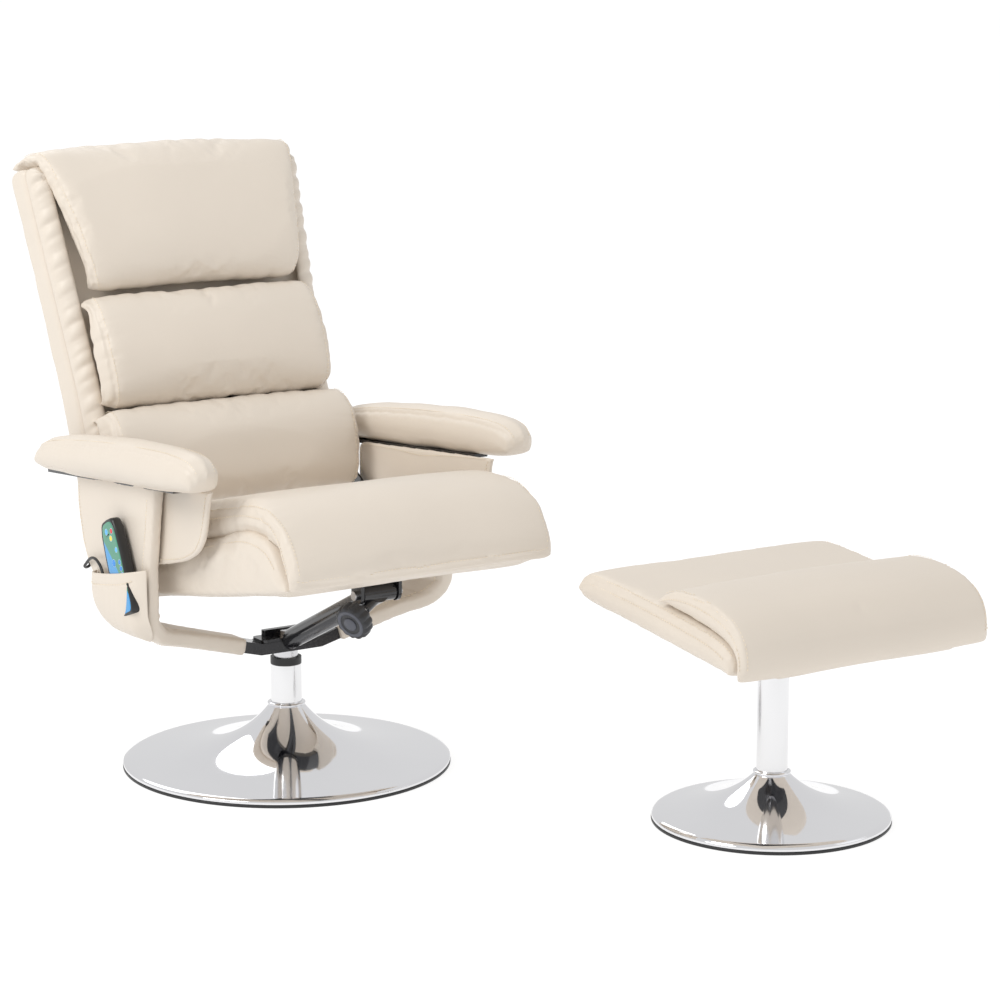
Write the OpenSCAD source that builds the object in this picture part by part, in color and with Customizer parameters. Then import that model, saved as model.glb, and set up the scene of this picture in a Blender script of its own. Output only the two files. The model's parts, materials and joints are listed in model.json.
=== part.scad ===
// Reclining massage chair on a round pedestal, with its matching footstool.
// Origin: floor under the chair's column. The chair faces -Y, and +Z is up.

/* [Chair base] */
// Outer diameter of the chrome base
base_d = 570; // [500:5:640]
// Height of the top of the base's neck
neck_h = 104; // [90:1:120]
// Outer diameter of the column
column_d = 54; // [46:1:64]
// Height of the top of the column's bush
column_top = 190; // [180:1:196]
// Wall of the spun base and of the column
spun_t = 2; // [1.5:0.1:3]
// Diameter of the spindle that turns in the bushes
spindle_d = 34; // [28:1:38]

/* [Arm frame] */
// Distance from the middle plane to the middle of a side tube
frame_half = 289; // [284:1:300]
// Height of the frame's tube, seen from the front
tube_t = 20; // [16:1:26]
// Depth of the frame's tube, front to rear
tube_w = 44; // [36:1:60]
// Height of the tube's middle at the hub
hub_z = 213; // [210:1:222]

/* [Arms] */
// Thickness of a padded side sleeve
sleeve_t = 28; // [25:1:36]
// Depth of the side sleeve at its top
sleeve_d = 297; // [280:1:320]
// Width of an arm pad
arm_pad_w = 72; // [64:1:80]
// Thickness of an arm pad at its middle
arm_pad_t = 67; // [62:1:76]
// Height of an arm pad's underside at its front end
arm_under = 555; // [548:1:562]
// Fall of an arm pad towards the rear, in degrees
arm_drop = 4.8; // [4:0.2:6]
// Thickness of the inner arm panel
panel_t = 10; // [8:1:12]

/* [Seat] */
// Width of the seat
seat_w = 496; // [460:2:498]
// Depth of the seat cushion
seat_d = 575; // [520:5:585]
// Slope of the seat, up towards the front
seat_slope = 10.8; // [8:0.2:13]
// Thickness of the seat's boxed base cushion
seat_base_t = 88; // [76:1:96]
// Thickness of the seat's overlay pad
seat_pad_t = 62; // [54:1:66]

/* [Backrest] */
// Width of the back shell at its top
back_top_w = 548; // [520:2:560]
// Width of the back between the arms
back_low_w = 500; // [460:2:502]
// Lean of the back behind upright
back_lean = 21; // [18:0.5:24]
// Length of the back along its lean
back_len = 586; // [570:2:620]
// Depth of the rear shell at its sides
shell_d = 66; // [60:1:76]
// Wall of the rear shell
shell_t = 10; // [6:1:14]

/* [Handset] */
// Width of the handset
handset_w = 64; // [54:1:66]
// Length of the handset
handset_len = 168; // [150:2:180]
// Thickness of the handset
handset_t = 20; // [16:1:22]
// Lean of the handset towards the rear
handset_lean = 24.5; // [20:0.5:28]

/* [Footstool] */
// Distance of the footstool to the chair's right
stool_x = 498; // [480:1:540]
// Distance of the footstool in front of the chair
stool_y = -734; // [-780:1:-730]
// Outer diameter of the footstool's base
stool_base_d = 394; // [350:2:430]
// Height of the top of the footstool's neck
stool_neck_h = 79; // [70:1:90]
// Height of the top of the footstool's column
stool_top_z = 300; // [290:1:306]
// Width of the footstool's cushion
stool_w = 506; // [460:2:510]
// Depth of the footstool's cushion
stool_d = 430; // [380:5:440]
// Slope of the footstool, down towards the front
stool_slope = 7; // [4:0.5:8]

/* [Recline knob] */
// Diameter of the knob
knob_d = 62; // [56:1:74]
// Number of flutes round the knob
knob_flutes = 14; // [10:1:18]

/* [Fits] */
// Running clearance on the radius of a turning shaft
run_gap = 0.05; // [0.02:0.01:0.09]
// Clearance of a soft or loose piece
soft_gap = 0.5; // [0.3:0.1:1]

/* [Hidden] */
$fn = 64;

steel = "dimgray";
leather = "antiquewhite";
ring_h = 5;              // floor ring's height
edge_w = 3;              // floor ring's overlap on the base's edge
flare_l = 60;            // length over which the base's flare dies out
dish_rise = 0.08;        // slope of the base's outer dish
ballast_t = 8;           // thickness of the weight plates
bush_h = 12;             // height of a bush above the column
bush_depth = 24;         // depth of a bush inside the column
arm_start = 92;          // where a sleeve begins, from the middle plane
bend_r = 52;             // radius of the arm frame's bends
bottom_rise = 0.26;      // rise of the bottom tube per unit of width
flat_half = 58;          // half of the tube's flat middle, under the hub plate
sleeve_front = -104;     // front edge of a sleeve
strap_t = 6;             // thickness of the flat brackets
plate_t = 3.5;           // thickness of the hinge plates
pad_half_in = 265;       // inner edge of an arm pad, from the middle plane
arm_front_y = -290;      // front end of an arm pad
strap_y = [-176, 300];   // ends of the strap under an arm pad
pivot_y = 150;           // back hinge, front to rear
pivot_z = 425;           // back hinge, height
boom_y = -310;           // seat's pivot on the boom, front to rear
boom_z = 362;            // seat's pivot on the boom, height
boom_r = 18;             // radius of the boom's tube
boom_over = 8;           // length of the boom past the pivot
barrel_half = 30;        // half-length of the cross barrel at the boom's end
shaft_r = 8;             // radius of the pivot shaft
knob_x = -47;            // middle of the knob's inner face
knob_y = -330;           // the same, front to rear
knob_z = 332.5;          // the same, height
knob_yaw = 22;           // turn of the knob's axis towards the front
knob_dip = -23;          // dip of the knob's axis
motor_r = 21;            // radius of a vibration motor's housing
motor_h = 26;            // length of a motor's housing
motor_wall = 2;          // wall of a motor's housing
rotor_r = 13;            // radius of an eccentric weight
pin_r = 2;               // radius of a motor's pin
seat_front_y = -461;     // front face of the seat
seat_ref_z = 325;        // height of the seat's underside at the column's axis
back_foot_y = 292;       // rear foot of the back shell
back_foot_z = 446;       // height of the back shell's foot
handset_x = -318;        // middle of the handset
handset_y = -45;         // middle of the handset's foot
handset_z = 311.5;       // height of the handset's foot
pocket_wall = 3;         // thickness of the pocket's leather
pocket_y = [-80, 112];   // front and rear ends of the pocket
pocket_rim = [394, 360]; // height of the pocket's rim at its front and rear ends
cord_d = 5;
cord_route = [[-318, -5.8, 313.3], [-318, 0, 310.8], [-318, 8, 308.6], [-318, 20, 308.5], [-318, 32, 314],
    [-318, 41, 327], [-318, 48, 343], [-318, 56, 359], [-317, 68, 373], [-316, 82, 380.5], [-314, 97, 382.5],
    [-312, 113, 380.5], [-310, 128, 374.5], [-308, 142, 366], [-306.5, 153, 358.5], [-300, 161, 354],
    [-294, 163.5, 354.5], [-291, 163.4, 357], [-290, 162, 359.5]];
stool_r = stool_base_d / 2;

// Outline of a spun base: a shallow dish whose middle flares up into a neck.
function flare_z(r, rim, neck_r, h) =
    let (dish = ring_h + 6 + dish_rise * (rim - r),
         lift = h - (ring_h + 6 + dish_rise * (rim - neck_r)))
    dish + lift * exp(-(r - neck_r) / flare_l);
function flare(rim, neck_r, h, drop) =
    [for (i = [0:22]) let (r = rim - (rim - neck_r) * sin(90 * i / 22)) [r, flare_z(r, rim, neck_r, h) - drop]];
function rev(list) = [for (i = [len(list) - 1:-1:0]) list[i]];

module spun_base(rim, neck_r, h) {
    top = flare(rim, neck_r, h, 0);
    low = flare(rim - spun_t, neck_r - spun_t, h, spun_t);
    rotate_extrude($fn = 96)
        polygon(concat([[rim, ring_h]], top, [[neck_r, h + 1], [neck_r - spun_t, h + 1]], rev(low), [[rim - spun_t, ring_h]]));
}

// Flat ring, tube or disc standing on height z.
module ring(r_out, r_in, z, h) {
    translate([0, 0, z]) rotate_extrude($fn = 96) translate([r_in, 0]) square([r_out - r_in, h]);
}

// Box with its corners rounded when seen along X, Y or Z.
module slab(size, r) {
    linear_extrude(size[2]) rounded(size[0], size[1], r);
}
module rounded(w, d, r) {
    union() {
        square([w - 2 * r, d], center = true);
        square([w, d - 2 * r], center = true);
        for (x = [-1, 1], y = [-1, 1]) translate([x * (w / 2 - r), y * (d / 2 - r)]) circle(r, $fn = 32);
    }
}
module at_stool() { translate([stool_x, stool_y, 0]) children(); }
// Outline in Y and Z carried along X from x0 to x1.
module along_x(x0, x1) {
    translate([x0, 0, 0]) rotate([90, 0, 90]) linear_extrude(x1 - x0) children();
}
// Outline in X and Z carried along Y from y0 to y1.
module along_y(y0, y1) {
    translate([0, y1, 0]) rotate([90, 0, 0]) linear_extrude(y1 - y0) children();
}
module both_sides() { children(); mirror([1, 0, 0]) children(); }

/* Chair base */
neck_r = column_d / 2 + 5;
module base_shell() color("silver") spun_base(base_d / 2, neck_r, neck_h);
module base_floor_ring() color("black")
    ring(base_d / 2 - spun_t - 0.5 + edge_w, base_d / 2 - 22, 0, ring_h);
module base_ballast() color(steel) ring(base_d / 2 - 45, 7, ring_h - 1, ballast_t);
module base_column() color("lightgray")
    ring(column_d / 2, column_d / 2 - spun_t, ring_h - 1 + ballast_t, column_top - bush_h - ring_h + 1 - ballast_t);
module base_collar() color("silver")
    difference() {
        ring(neck_r + 1.5, column_d / 2, neck_h + 1, 5);
        ring(neck_r + 2, neck_r - 1, neck_h + 4, 3);
    }
bush_bore = spindle_d / 2 + run_gap;
module column_bushes() color("black") {
    translate([0, 0, column_top - bush_h]) rotate_extrude($fn = 64)
        polygon([[bush_bore, -bush_depth], [column_d / 2 - spun_t, -bush_depth], [column_d / 2 - spun_t, 0],
            [column_d / 2, 0], [column_d / 2, bush_h], [bush_bore, bush_h]]);
    ring(column_d / 2 - spun_t, bush_bore, ring_h + ballast_t + 22, bush_depth);
}
module base_bolt() color(steel) {
    // Bolt from below into the plug that closes the column's foot.
    ring(7, 0, ring_h - 1, ballast_t + 10);
    ring(13, 0, ring_h - 4, 3);
    difference() {
        ring(column_d / 2 - spun_t, 7, ring_h - 1 + ballast_t, 14);
    }
}

/* Swivel and arm frame */
spindle_top = hub_z - tube_t / 2;
module swivel_spindle() color("lightgray") {
    ring(spindle_d / 2, 0, ring_h + ballast_t + 18, spindle_top - ring_h - ballast_t - 18);
    ring(spindle_d / 2 + 4, spindle_d / 2, column_top + 0.3, spindle_top - column_top - 0.3);
}
// Height of an arm pad's underside at y.
function under_pad(y) = arm_under - (y - arm_front_y) * tan(arm_drop);
frame_top = under_pad(tube_w / 2) - strap_t - 1;
// Middle line of the arm frame's right half: flat at the hub, rising, round the bend, up the side.
bend_from = atan(bottom_rise) - 90;
bend_x = frame_half - bend_r;
bend_z = hub_z + bottom_rise * (bend_x + bend_r * cos(bend_from) - flat_half) - bend_r * sin(bend_from);
function frame_line() = concat([[0, hub_z], [flat_half, hub_z]],
    [for (i = [0:6]) let (a = bend_from * (1 - i / 6)) [bend_x + bend_r * cos(a), bend_z + bend_r * sin(a)]],
    [[frame_half, frame_top]]);
function side_dir(p, i) =
    let (a = p[max(i - 1, 0)], b = p[min(i + 1, len(p) - 1)], d = b - a, l = norm(d))
    i == 0 ? [0, 1] : i == len(p) - 1 ? [-1, 0] : [-d[1], d[0]] / l;
// Band of thickness t along a line, as one outline.
function band(p, t) = concat(
    [for (i = [0:len(p) - 1]) p[i] - side_dir(p, i) * t / 2],
    rev([for (i = [0:len(p) - 1]) p[i] + side_dir(p, i) * t / 2]));
module frame_band(t, w) {
    both_sides() along_y(-w / 2, w / 2) polygon(band(frame_line(), t));
}
module arm_frame() color("black")
    difference() {
        frame_band(tube_t, tube_w);
        frame_band(tube_t - 5, tube_w - 5);
        both_sides() translate([frame_half, 0, frame_top]) cube([tube_t - 5, tube_w - 5, 40], center = true);
        translate([0, 0, hub_z - 30]) cylinder(r = 5, h = 60);
    }
hub_top = hub_z + tube_t / 2;
module hub_plate() color(steel)
    difference() {
        union() {
            translate([0, 0, hub_top]) slab([112, tube_w - 2, 5], 8);
            // Raised flange along the plate's rear edge.
            hull() for (x = [-34, 46]) translate([x, tube_w / 2 - 7, hub_top]) cylinder(r = 5, h = 15);
        }
        translate([0, 0, hub_top - 1]) cylinder(r = 5, h = 8);
    }
module hub_bolt() color("black") {
    translate([0, 0, spindle_top]) cylinder(r = 4.9, h = tube_t + 5);
    translate([0, 0, hub_top + 5]) cylinder(r = 10, h = 8, $fn = 6);
}
// Boom: a tube from the front of the arm frame, forward and up to the seat's pivot.
boom_root_z = hub_z + 2;
boom_rise = atan2(boom_z - boom_root_z, -boom_y);
module boom_body() {
    translate([0, 0, boom_root_z]) rotate([90 - boom_rise, 0, 0])
        cylinder(r = boom_r, h = norm([boom_y, boom_z - boom_root_z]) + boom_over);
    translate([-barrel_half, boom_y, boom_z]) rotate([0, 90, 0]) cylinder(r = shaft_r + 6, h = 2 * barrel_half);
}
module boom_tube() color("black")
    difference() {
        boom_body();
        translate([-60, -tube_w / 2, 0]) cube([120, 160, 600]);
        translate([-120, boom_y, boom_z]) rotate([0, 90, 0]) cylinder(r = shaft_r + run_gap, h = 240);
    }
module boom_shaft() color("silver")
    translate([-barrel_half - 15, boom_y, boom_z]) rotate([0, 90, 0]) cylinder(r = shaft_r, h = 2 * barrel_half + 30);

/* Recline knob: its axis points to the left, forward and down */
module knob_axis() {
    translate([knob_x, knob_y, knob_z]) rotate([0, 0, knob_yaw]) rotate([0, -90 + knob_dip, 0]) children();
}
// Boss on the boom's left side that the knob's stud screws into.
module knob_bracket() color("black")
    difference() {
        knob_axis() translate([0, 0, -46]) cylinder(r = 8, h = 26);
        knob_axis() translate([0, 0, -34.2]) cylinder(r = 5, h = 20);
        boom_body();
    }
module knob_stud() color("silver")
    knob_axis() {
        translate([0, 0, -34]) cylinder(r = 5 - run_gap, h = 40);
        translate([0, 0, -3.5]) cylinder(r = 11, h = 3.4);
    }
module recline_knob() color("black")
    knob_axis() difference() {
        union() {
            cylinder(r = knob_d / 2 - 4, h = 24);
            for (i = [0:knob_flutes - 1]) rotate([0, 0, 360 * i / knob_flutes])
                translate([knob_d / 2 - 5, 0, 2]) cylinder(r = 5, h = 20, $fn = 24);
            translate([0, 0, 24]) cylinder(r = 17, h = 3);
        }
        translate([0, 0, -1]) cylinder(r = 5 - run_gap, h = 7);
    }

/* Arms */
// Outline of the side, seen from the side: wide at the arm, narrow at the bottom tube.
function side_outline() = [
    [sleeve_front, under_pad(sleeve_front) - soft_gap], [sleeve_front + 11, 488], [sleeve_front + 21, 432],
    [sleeve_front + 30, 393], [sleeve_front + 30, 330], [sleeve_front + 36, 288],
    [-tube_w / 2 - 24, 262], [-tube_w / 2 - 9, 240], [-tube_w / 2 - 9, 190], [tube_w / 2 + 9, 190],
    [tube_w / 2 + 12, 246], [tube_w / 2 + 42, 268], [sleeve_front + sleeve_d - 100, 288],
    [sleeve_front + sleeve_d - 87, 312], [sleeve_front + sleeve_d - 68, 340], [sleeve_front + sleeve_d - 43, 356],
    [sleeve_front + sleeve_d - 13, 402], [sleeve_front + sleeve_d, 458],
    [sleeve_front + sleeve_d, under_pad(sleeve_front + sleeve_d) - soft_gap]];
module side_sleeve(side) {
    mirror([side > 0 ? 0 : 1, 0, 0])
        difference() {
            intersection() {
                along_y(-200, 260) polygon(band(concat(frame_line(), [[frame_half, 600]]), sleeve_t));
                along_x(arm_start, 400) polygon(side_outline());
            }
            frame_band(tube_t + 2 * soft_gap, tube_w + 2 * soft_gap);
            arm_strap(soft_gap);
            translate([frame_half - sleeve_t / 2 - 1, -20 - soft_gap, pivot_z - 20 - soft_gap])
                cube([sleeve_t / 2 - tube_t / 2 + 1 + soft_gap, pivot_y + 38 + 2 * soft_gap, 40 + 2 * soft_gap]);
        }
}
module side_sleeve_left() color(leather) side_sleeve(-1);
module side_sleeve_right() color(leather) side_sleeve(1);
panel_out = frame_half - sleeve_t / 2 - soft_gap;
// Inner panel: a flat upholstered board from the front of the arm to behind the hinge.
module arm_panel(side) {
    mirror([side > 0 ? 0 : 1, 0, 0]) along_x(panel_out - panel_t, panel_out)
        polygon([[-251, under_pad(-251) - soft_gap], [-245, 545], [-239, 519], [-233, 492], [-224, 464], [-213, 449],
            [-200, 438], [-182, 427], [-158, 418], [-103, 404], [-33, 390], [60, 380], [120, 377], [168, 382],
            [190, 402], [196, 440], [198, under_pad(198) - soft_gap]]);
}
module arm_panel_left() color(leather)
    difference() { arm_panel(-1); pivot_hole(30); }
module arm_panel_right() color(leather)
    difference() { arm_panel(1); pivot_hole(30); }
module pivot_hole(r) {
    translate([-400, pivot_y, pivot_z]) rotate([0, 90, 0]) cylinder(r = r / 2, h = 800);
}
// Arm pad in its own frame: Y along the arm from the front tip, Z up from its flat underside.
arm_len = 610;
module arm_outline() {
    polygon(concat(
        [for (a = [-90:15:90]) [32 - 32 * cos(a), 30 + 30 * sin(a)]],
        [for (t = [0.1:0.1:0.9]) [32 + (arm_len - 62) * t, 60 + (arm_pad_t - 60) * sin(180 * t)]],
        [for (a = [90:-15:-90]) [arm_len - 30 + 30 * cos(a), 26 + 27 * sin(a) + 4]]));
}
module at_arm() { translate([0, arm_front_y, arm_under]) rotate([-arm_drop, 0, 0]) children(); }
module arm_pad(side) {
    x0 = side > 0 ? pad_half_in : -pad_half_in - arm_pad_w;
    at_arm() intersection() {
        along_x(x0, x0 + arm_pad_w) arm_outline();
        translate([x0 + arm_pad_w / 2, arm_len / 2, -6]) slab([arm_pad_w, arm_len + 4, 90], 30);
    }
}
module arm_pad_left() color(leather) arm_pad(-1);
module arm_pad_right() color(leather) arm_pad(1);
// Flat strap under an arm pad, on top of the side tube.
module arm_strap(grow) {
    at_arm() translate([frame_half - 14 - grow, strap_y[0] - arm_front_y - grow, -strap_t - 0.4 - grow])
        cube([28 + 2 * grow, strap_y[1] - strap_y[0] + 2 * grow, strap_t + 2 * grow]);
}
module arm_brackets() color("black")
    both_sides() {
        arm_strap(0);
        // Hinge plate off the tube's inner side, with its pin.
        translate([frame_half - tube_t / 2 - plate_t, -20, pivot_z - 20]) cube([plate_t, pivot_y + 38, 40]);
        translate([back_low_w / 2 - 1, pivot_y, pivot_z]) rotate([0, 90, 0])
            cylinder(r = shaft_r, h = frame_half - tube_t / 2 - back_low_w / 2);
    }

/* Seat: shapes in the seat's own frame, with Y along its slope and Z off its underside */
module at_seat() { translate([0, 0, seat_ref_z]) rotate([-seat_slope, 0, 0]) children(); }
seat_rear = seat_front_y / cos(seat_slope) + seat_d;
seat_front = seat_front_y / cos(seat_slope);
module seat_base_outline() {
    polygon(concat([[seat_rear, 8], [seat_rear - 8, 0], [seat_front + 24, 0]],
        [for (a = [270:-15:180]) [seat_front + 26 + 22 * cos(a), 22 + 22 * sin(a)]],
        [for (a = [180:-15:90]) [seat_front + 54 + 50 * cos(a), seat_base_t - 36 + 30 * sin(a)]],
        [[seat_rear - 14, seat_base_t - 6], [seat_rear, seat_base_t - 18]]));
}
spring_z = 26.3;         // underside of the springs
spring_t = 3;
hollow_top = spring_z + spring_t + soft_gap;
seat_motor_y = -120;
module seat_cushion() color(leather) at_seat()
    difference() {
        along_x(-seat_w / 2, seat_w / 2) seat_base_outline();
        translate([-seat_w / 2 + 22, seat_front + 40, -1]) cube([seat_w - 44, seat_d - 62, hollow_top + 1]);
        translate([0, seat_motor_y, 20]) cylinder(r = motor_r + 2, h = motor_h + 22);
    }
// Overlay pad: lies on the base and rolls over its front edge.
seat_top = seat_base_t + seat_pad_t;
roll_r = 134;            // depth of the roll at the front
module seat_pad_outline() {
    polygon(concat(
        [[seat_rear, seat_base_t - 5.5], [seat_front + 54, seat_base_t - 5.5]],
        [for (a = [90:15:180]) [seat_front + 54 + 50.6 * cos(a), seat_base_t - 36 + 30.6 * sin(a)]],
        [[seat_front + 3, 14], [seat_front + 2, 3], [seat_front - 7, 0]],
        [for (a = [180:-10:90]) [seat_front - 15 + roll_r + roll_r * cos(a), 12 + (seat_top - 12) * sin(a)]],
        [for (t = [0.2:0.2:1]) [seat_front - 15 + roll_r + (seat_d + 7 - roll_r) * t, seat_top - 18 * t * t]],
        [[seat_rear, seat_top - 28]]));
}
module seat_pad() color(leather) at_seat() along_x(-seat_w / 2 + 2, seat_w / 2 - 2) seat_pad_outline();
// Tube rectangle inside the cushion's hollow, with its two pivot ears.
seat_frame_w = seat_w - 60;
seat_ear_x = barrel_half + 6;
ear_y = boom_y * cos(seat_slope) - (boom_z - seat_ref_z) * sin(seat_slope);
module seat_frame() color(steel) {
    at_seat() difference() {
        union() {
            for (x = [-seat_frame_w / 2, seat_frame_w / 2 - 20]) translate([x, seat_front + 46, 6]) cube([20, seat_d - 74, 20]);
            for (y = [seat_front + 46, seat_rear - 48]) translate([-seat_frame_w / 2, y, 6]) cube([seat_frame_w, 20, 20]);
            translate([-seat_frame_w / 2, seat_front + 150, 6]) cube([seat_frame_w, 20, 20]);
            for (x = [-160, 150]) translate([x, seat_front + 46, 6]) cube([10, seat_d - 74, 12]);
        }
    }
    for (x = [-seat_ear_x - 3, seat_ear_x - 3]) difference() {
        along_x(x, x + 6) union() {
            translate([boom_y, boom_z]) circle(16);
            polygon([[boom_y - 16, boom_z], [boom_y - 16, 396], [boom_y + 16, 390], [boom_y + 16, boom_z]]);
        }
        translate([x - 5, boom_y, boom_z]) rotate([0, 90, 0]) cylinder(r = shaft_r + run_gap, h = 20);
    }
}
module seat_springs() color("silver") at_seat()
    for (k = [-2:2]) translate([64 * k, 0, spring_z])
        for (j = [0:7]) translate([0, seat_front + 66 + (seat_d - 114) / 8 * j, 0])
            linear_extrude(spring_t) {
                translate([j % 2 == 0 ? -20 : 17, 0]) square([3, (seat_d - 114) / 8 + 3]);
                translate([-20, 0]) square([40, 3]);
            }
module seat_underside() color("black") at_seat()
    difference() {
        translate([-seat_w / 2 + 24, seat_front + 42, 4]) cube([seat_w - 48, seat_d - 66, 1.5]);
        for (x = [-seat_ear_x, seat_ear_x]) translate([x, ear_y, 5]) cube([12, 46, 4], center = true);
    }
module control_box() color("black") at_seat()
    difference() {
        translate([-150, -70, 6]) cube([76, 60, 18]);
        translate([-100, -2, 14]) rotate([90, 0, 0]) cylinder(r = 4, h = 20);
    }

/* Backrest: shapes in the back's own frame, Z up its lean, Y to the rear */
module at_back() { translate([0, back_foot_y, back_foot_z]) rotate([-back_lean, 0, 0]) children(); }
// Half-width of the back at height z up its lean: straight between the arms, then wider.
widen_z = 175;           // where the back starts to widen
hinge_bolt_z = [40, 80]; // heights of the hinge plates' bolts
hinge_bolt_r = 6;
function back_half(z) = back_low_w / 2 + (back_top_w - back_low_w) / 2 * max(0, (z - widen_z) / (back_len - widen_z));
module back_face(inset, z0, z1) {
    polygon(concat([for (z = [z0, widen_z, z1]) [back_half(z) - inset, z]], [for (z = [z1, widen_z, z0]) [-back_half(z) + inset, z]]));
}
module back_box(inset, z0, z1, y0, y1) { along_y(y0, y1) back_face(inset, z0, z1); }
module back_shell() color(leather) at_back()
    difference() {
        back_box(0, 0, back_len, -shell_d, 0);
        back_box(shell_t, shell_t, back_len - shell_t, -shell_d - 1, -shell_t);
        both_sides() for (z = hinge_bolt_z) translate([back_low_w / 2 - 30, -shell_d + 22, z]) rotate([0, 90, 0])
            cylinder(r = hinge_bolt_r + 0.2, h = 60);
    }
// Gusset: the soft band that joins the rear shell to the pads all round.
gusset_d = 16;
module back_gusset() color(leather) at_back()
    difference() {
        back_box(5, 6, back_len - 2, -shell_d - gusset_d, -shell_d - soft_gap);
        back_box(24, 24, back_len - 20, -shell_d - gusset_d - 1, 0);
    }
pad_back = -shell_d - gusset_d - soft_gap;
// Side view of a pad from z0 to z1 up the back: flat behind, t0 to t1 thick at its ends, crowned.
pad_steps = 14;
module pad_outline(z0, z1, t0, t1, crown) {
    polygon(concat([[pad_back, z0 + 6], [pad_back, z1 - 6]],
        [for (i = [pad_steps:-1:0]) let (t = i / pad_steps)
            [pad_back - t0 - (t1 - t0) * t - crown * sqrt(sin(180 * t)), z0 + (z1 - z0) * t]]));
}
// Pad whose half-width goes from w0 at its foot to w1 at its top.
module back_pad(w0, w1, z0, z1, t0, t1, crown) {
    intersection() {
        along_x(-300, 300) pad_outline(z0, z1, t0, t1, crown);
        along_y(-300, 0) polygon([[w0, z0], [w1, z1], [-w1, z1], [-w0, z0]]);
    }
}
motor_high = [235, 50];     // heights of the two motor pairs up the back
motor_half = 96;            // distance of a motor from the middle plane
module motor_pockets(i) {
    for (x = [-motor_half, motor_half])
        translate([x, pad_back + 1, motor_high[i]]) rotate([90, 0, 0]) cylinder(r = motor_r + 1, h = motor_h + 2);
}
head_foot = 345;
module head_pad() color(leather) at_back() {
    // Face of the pad, then the part that wraps over the shell's top.
    back_pad(202, back_half(back_len) - 16, head_foot, back_len + 14, 18, 9, 30);
    along_x(-back_half(back_len) + 12, back_half(back_len) - 12)
        polygon([[pad_back - 8, back_len - 30], [pad_back - 8, back_len + 14], [pad_back + 14, back_len + 24],
            [-26, back_len + 24], [-7, back_len + 15], [-3, back_len + soft_gap], [pad_back, back_len + soft_gap],
            [pad_back, back_len - 30]]);
}
module middle_pad() color(leather) at_back()
    difference() { back_pad(220, 223, 132, head_foot - 6, 54, 34, 30); motor_pockets(0); }
module lower_pad() color(leather) at_back()
    difference() { back_pad(242, 240, -48, 128, 50, 68, 32); motor_pockets(1); }
// Heating pad with slots, flat against the rear of the lumbar pad.
module heater_pad() color("darkred") at_back()
    translate([0, pad_back + 2.3, 76]) rotate([90, 0, 0]) linear_extrude(2) difference() {
        rounded(120, 98, 10);
        for (k = [-2:2]) translate([22 * k, 0]) square([8, 70], center = true);
    }
// Tube loop of the back, with two cross rails that carry the motors.
rail_y = -shell_d + 12;
rail_t = 20;
module back_frame() color(steel) at_back()
    difference() {
        back_box(shell_t + 3, shell_t + 4, back_len - shell_t - 4, rail_y, rail_y + rail_t);
        difference() {
            back_box(shell_t + 23, shell_t + 24, back_len - shell_t - 24, rail_y - 1, rail_y + rail_t + 1);
            for (z = motor_high) translate([-300, rail_y - 2, z - 12]) cube([600, rail_t + 4, 24]);
        }
    }
// A motor stands on its rail, points forward and reaches into its pad.
motor_span = rail_y - pad_back + motor_h;
module back_motor(x, z) {
    translate([x, rail_y, z]) rotate([90, 0, 0]) difference() {
        cylinder(r = motor_r, h = motor_span);
        translate([0, 0, motor_wall]) cylinder(r = motor_r - motor_wall, h = motor_span - 2 * motor_wall);
        translate([0, 0, -1]) cylinder(r = pin_r + run_gap, h = motor_span + 2);
    }
}
module motor_housings() color("gray") {
    at_back() for (z = motor_high, x = [-motor_half, motor_half]) back_motor(x, z);
}
module seat_motor() color("gray") {
    at_seat() translate([0, seat_motor_y, hollow_top]) difference() {
        cylinder(r = motor_r, h = motor_h + 8);
        translate([0, 0, motor_wall]) cylinder(r = motor_r - motor_wall, h = motor_h + 8 - 2 * motor_wall);
        translate([0, 0, -1]) cylinder(r = pin_r + run_gap, h = motor_h + 12);
    }
}
// Eccentric weight: a half disc on a pin.
module rotor(span) {
    translate([0, 0, 0.2]) cylinder(r = pin_r, h = span - 0.4, $fn = 32);
    difference() {
        translate([0, 0, motor_wall + 4]) cylinder(r = rotor_r, h = span - 2 * motor_wall - 8);
        translate([-30, 1.5, 0]) cube([60, 30, span]);
    }
}
module back_rotor(x, z) { at_back() translate([x, rail_y, z]) rotate([90, 0, 0]) rotor(motor_span); }
module rotor_upper_left() color("goldenrod") back_rotor(-motor_half, motor_high[0]);
module rotor_upper_right() color("goldenrod") back_rotor(motor_half, motor_high[0]);
module rotor_lower_left() color("goldenrod") back_rotor(-motor_half, motor_high[1]);
module rotor_lower_right() color("goldenrod") back_rotor(motor_half, motor_high[1]);
module rotor_seat() color("goldenrod") at_seat() translate([0, seat_motor_y, hollow_top]) rotor(motor_h + 8);

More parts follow.
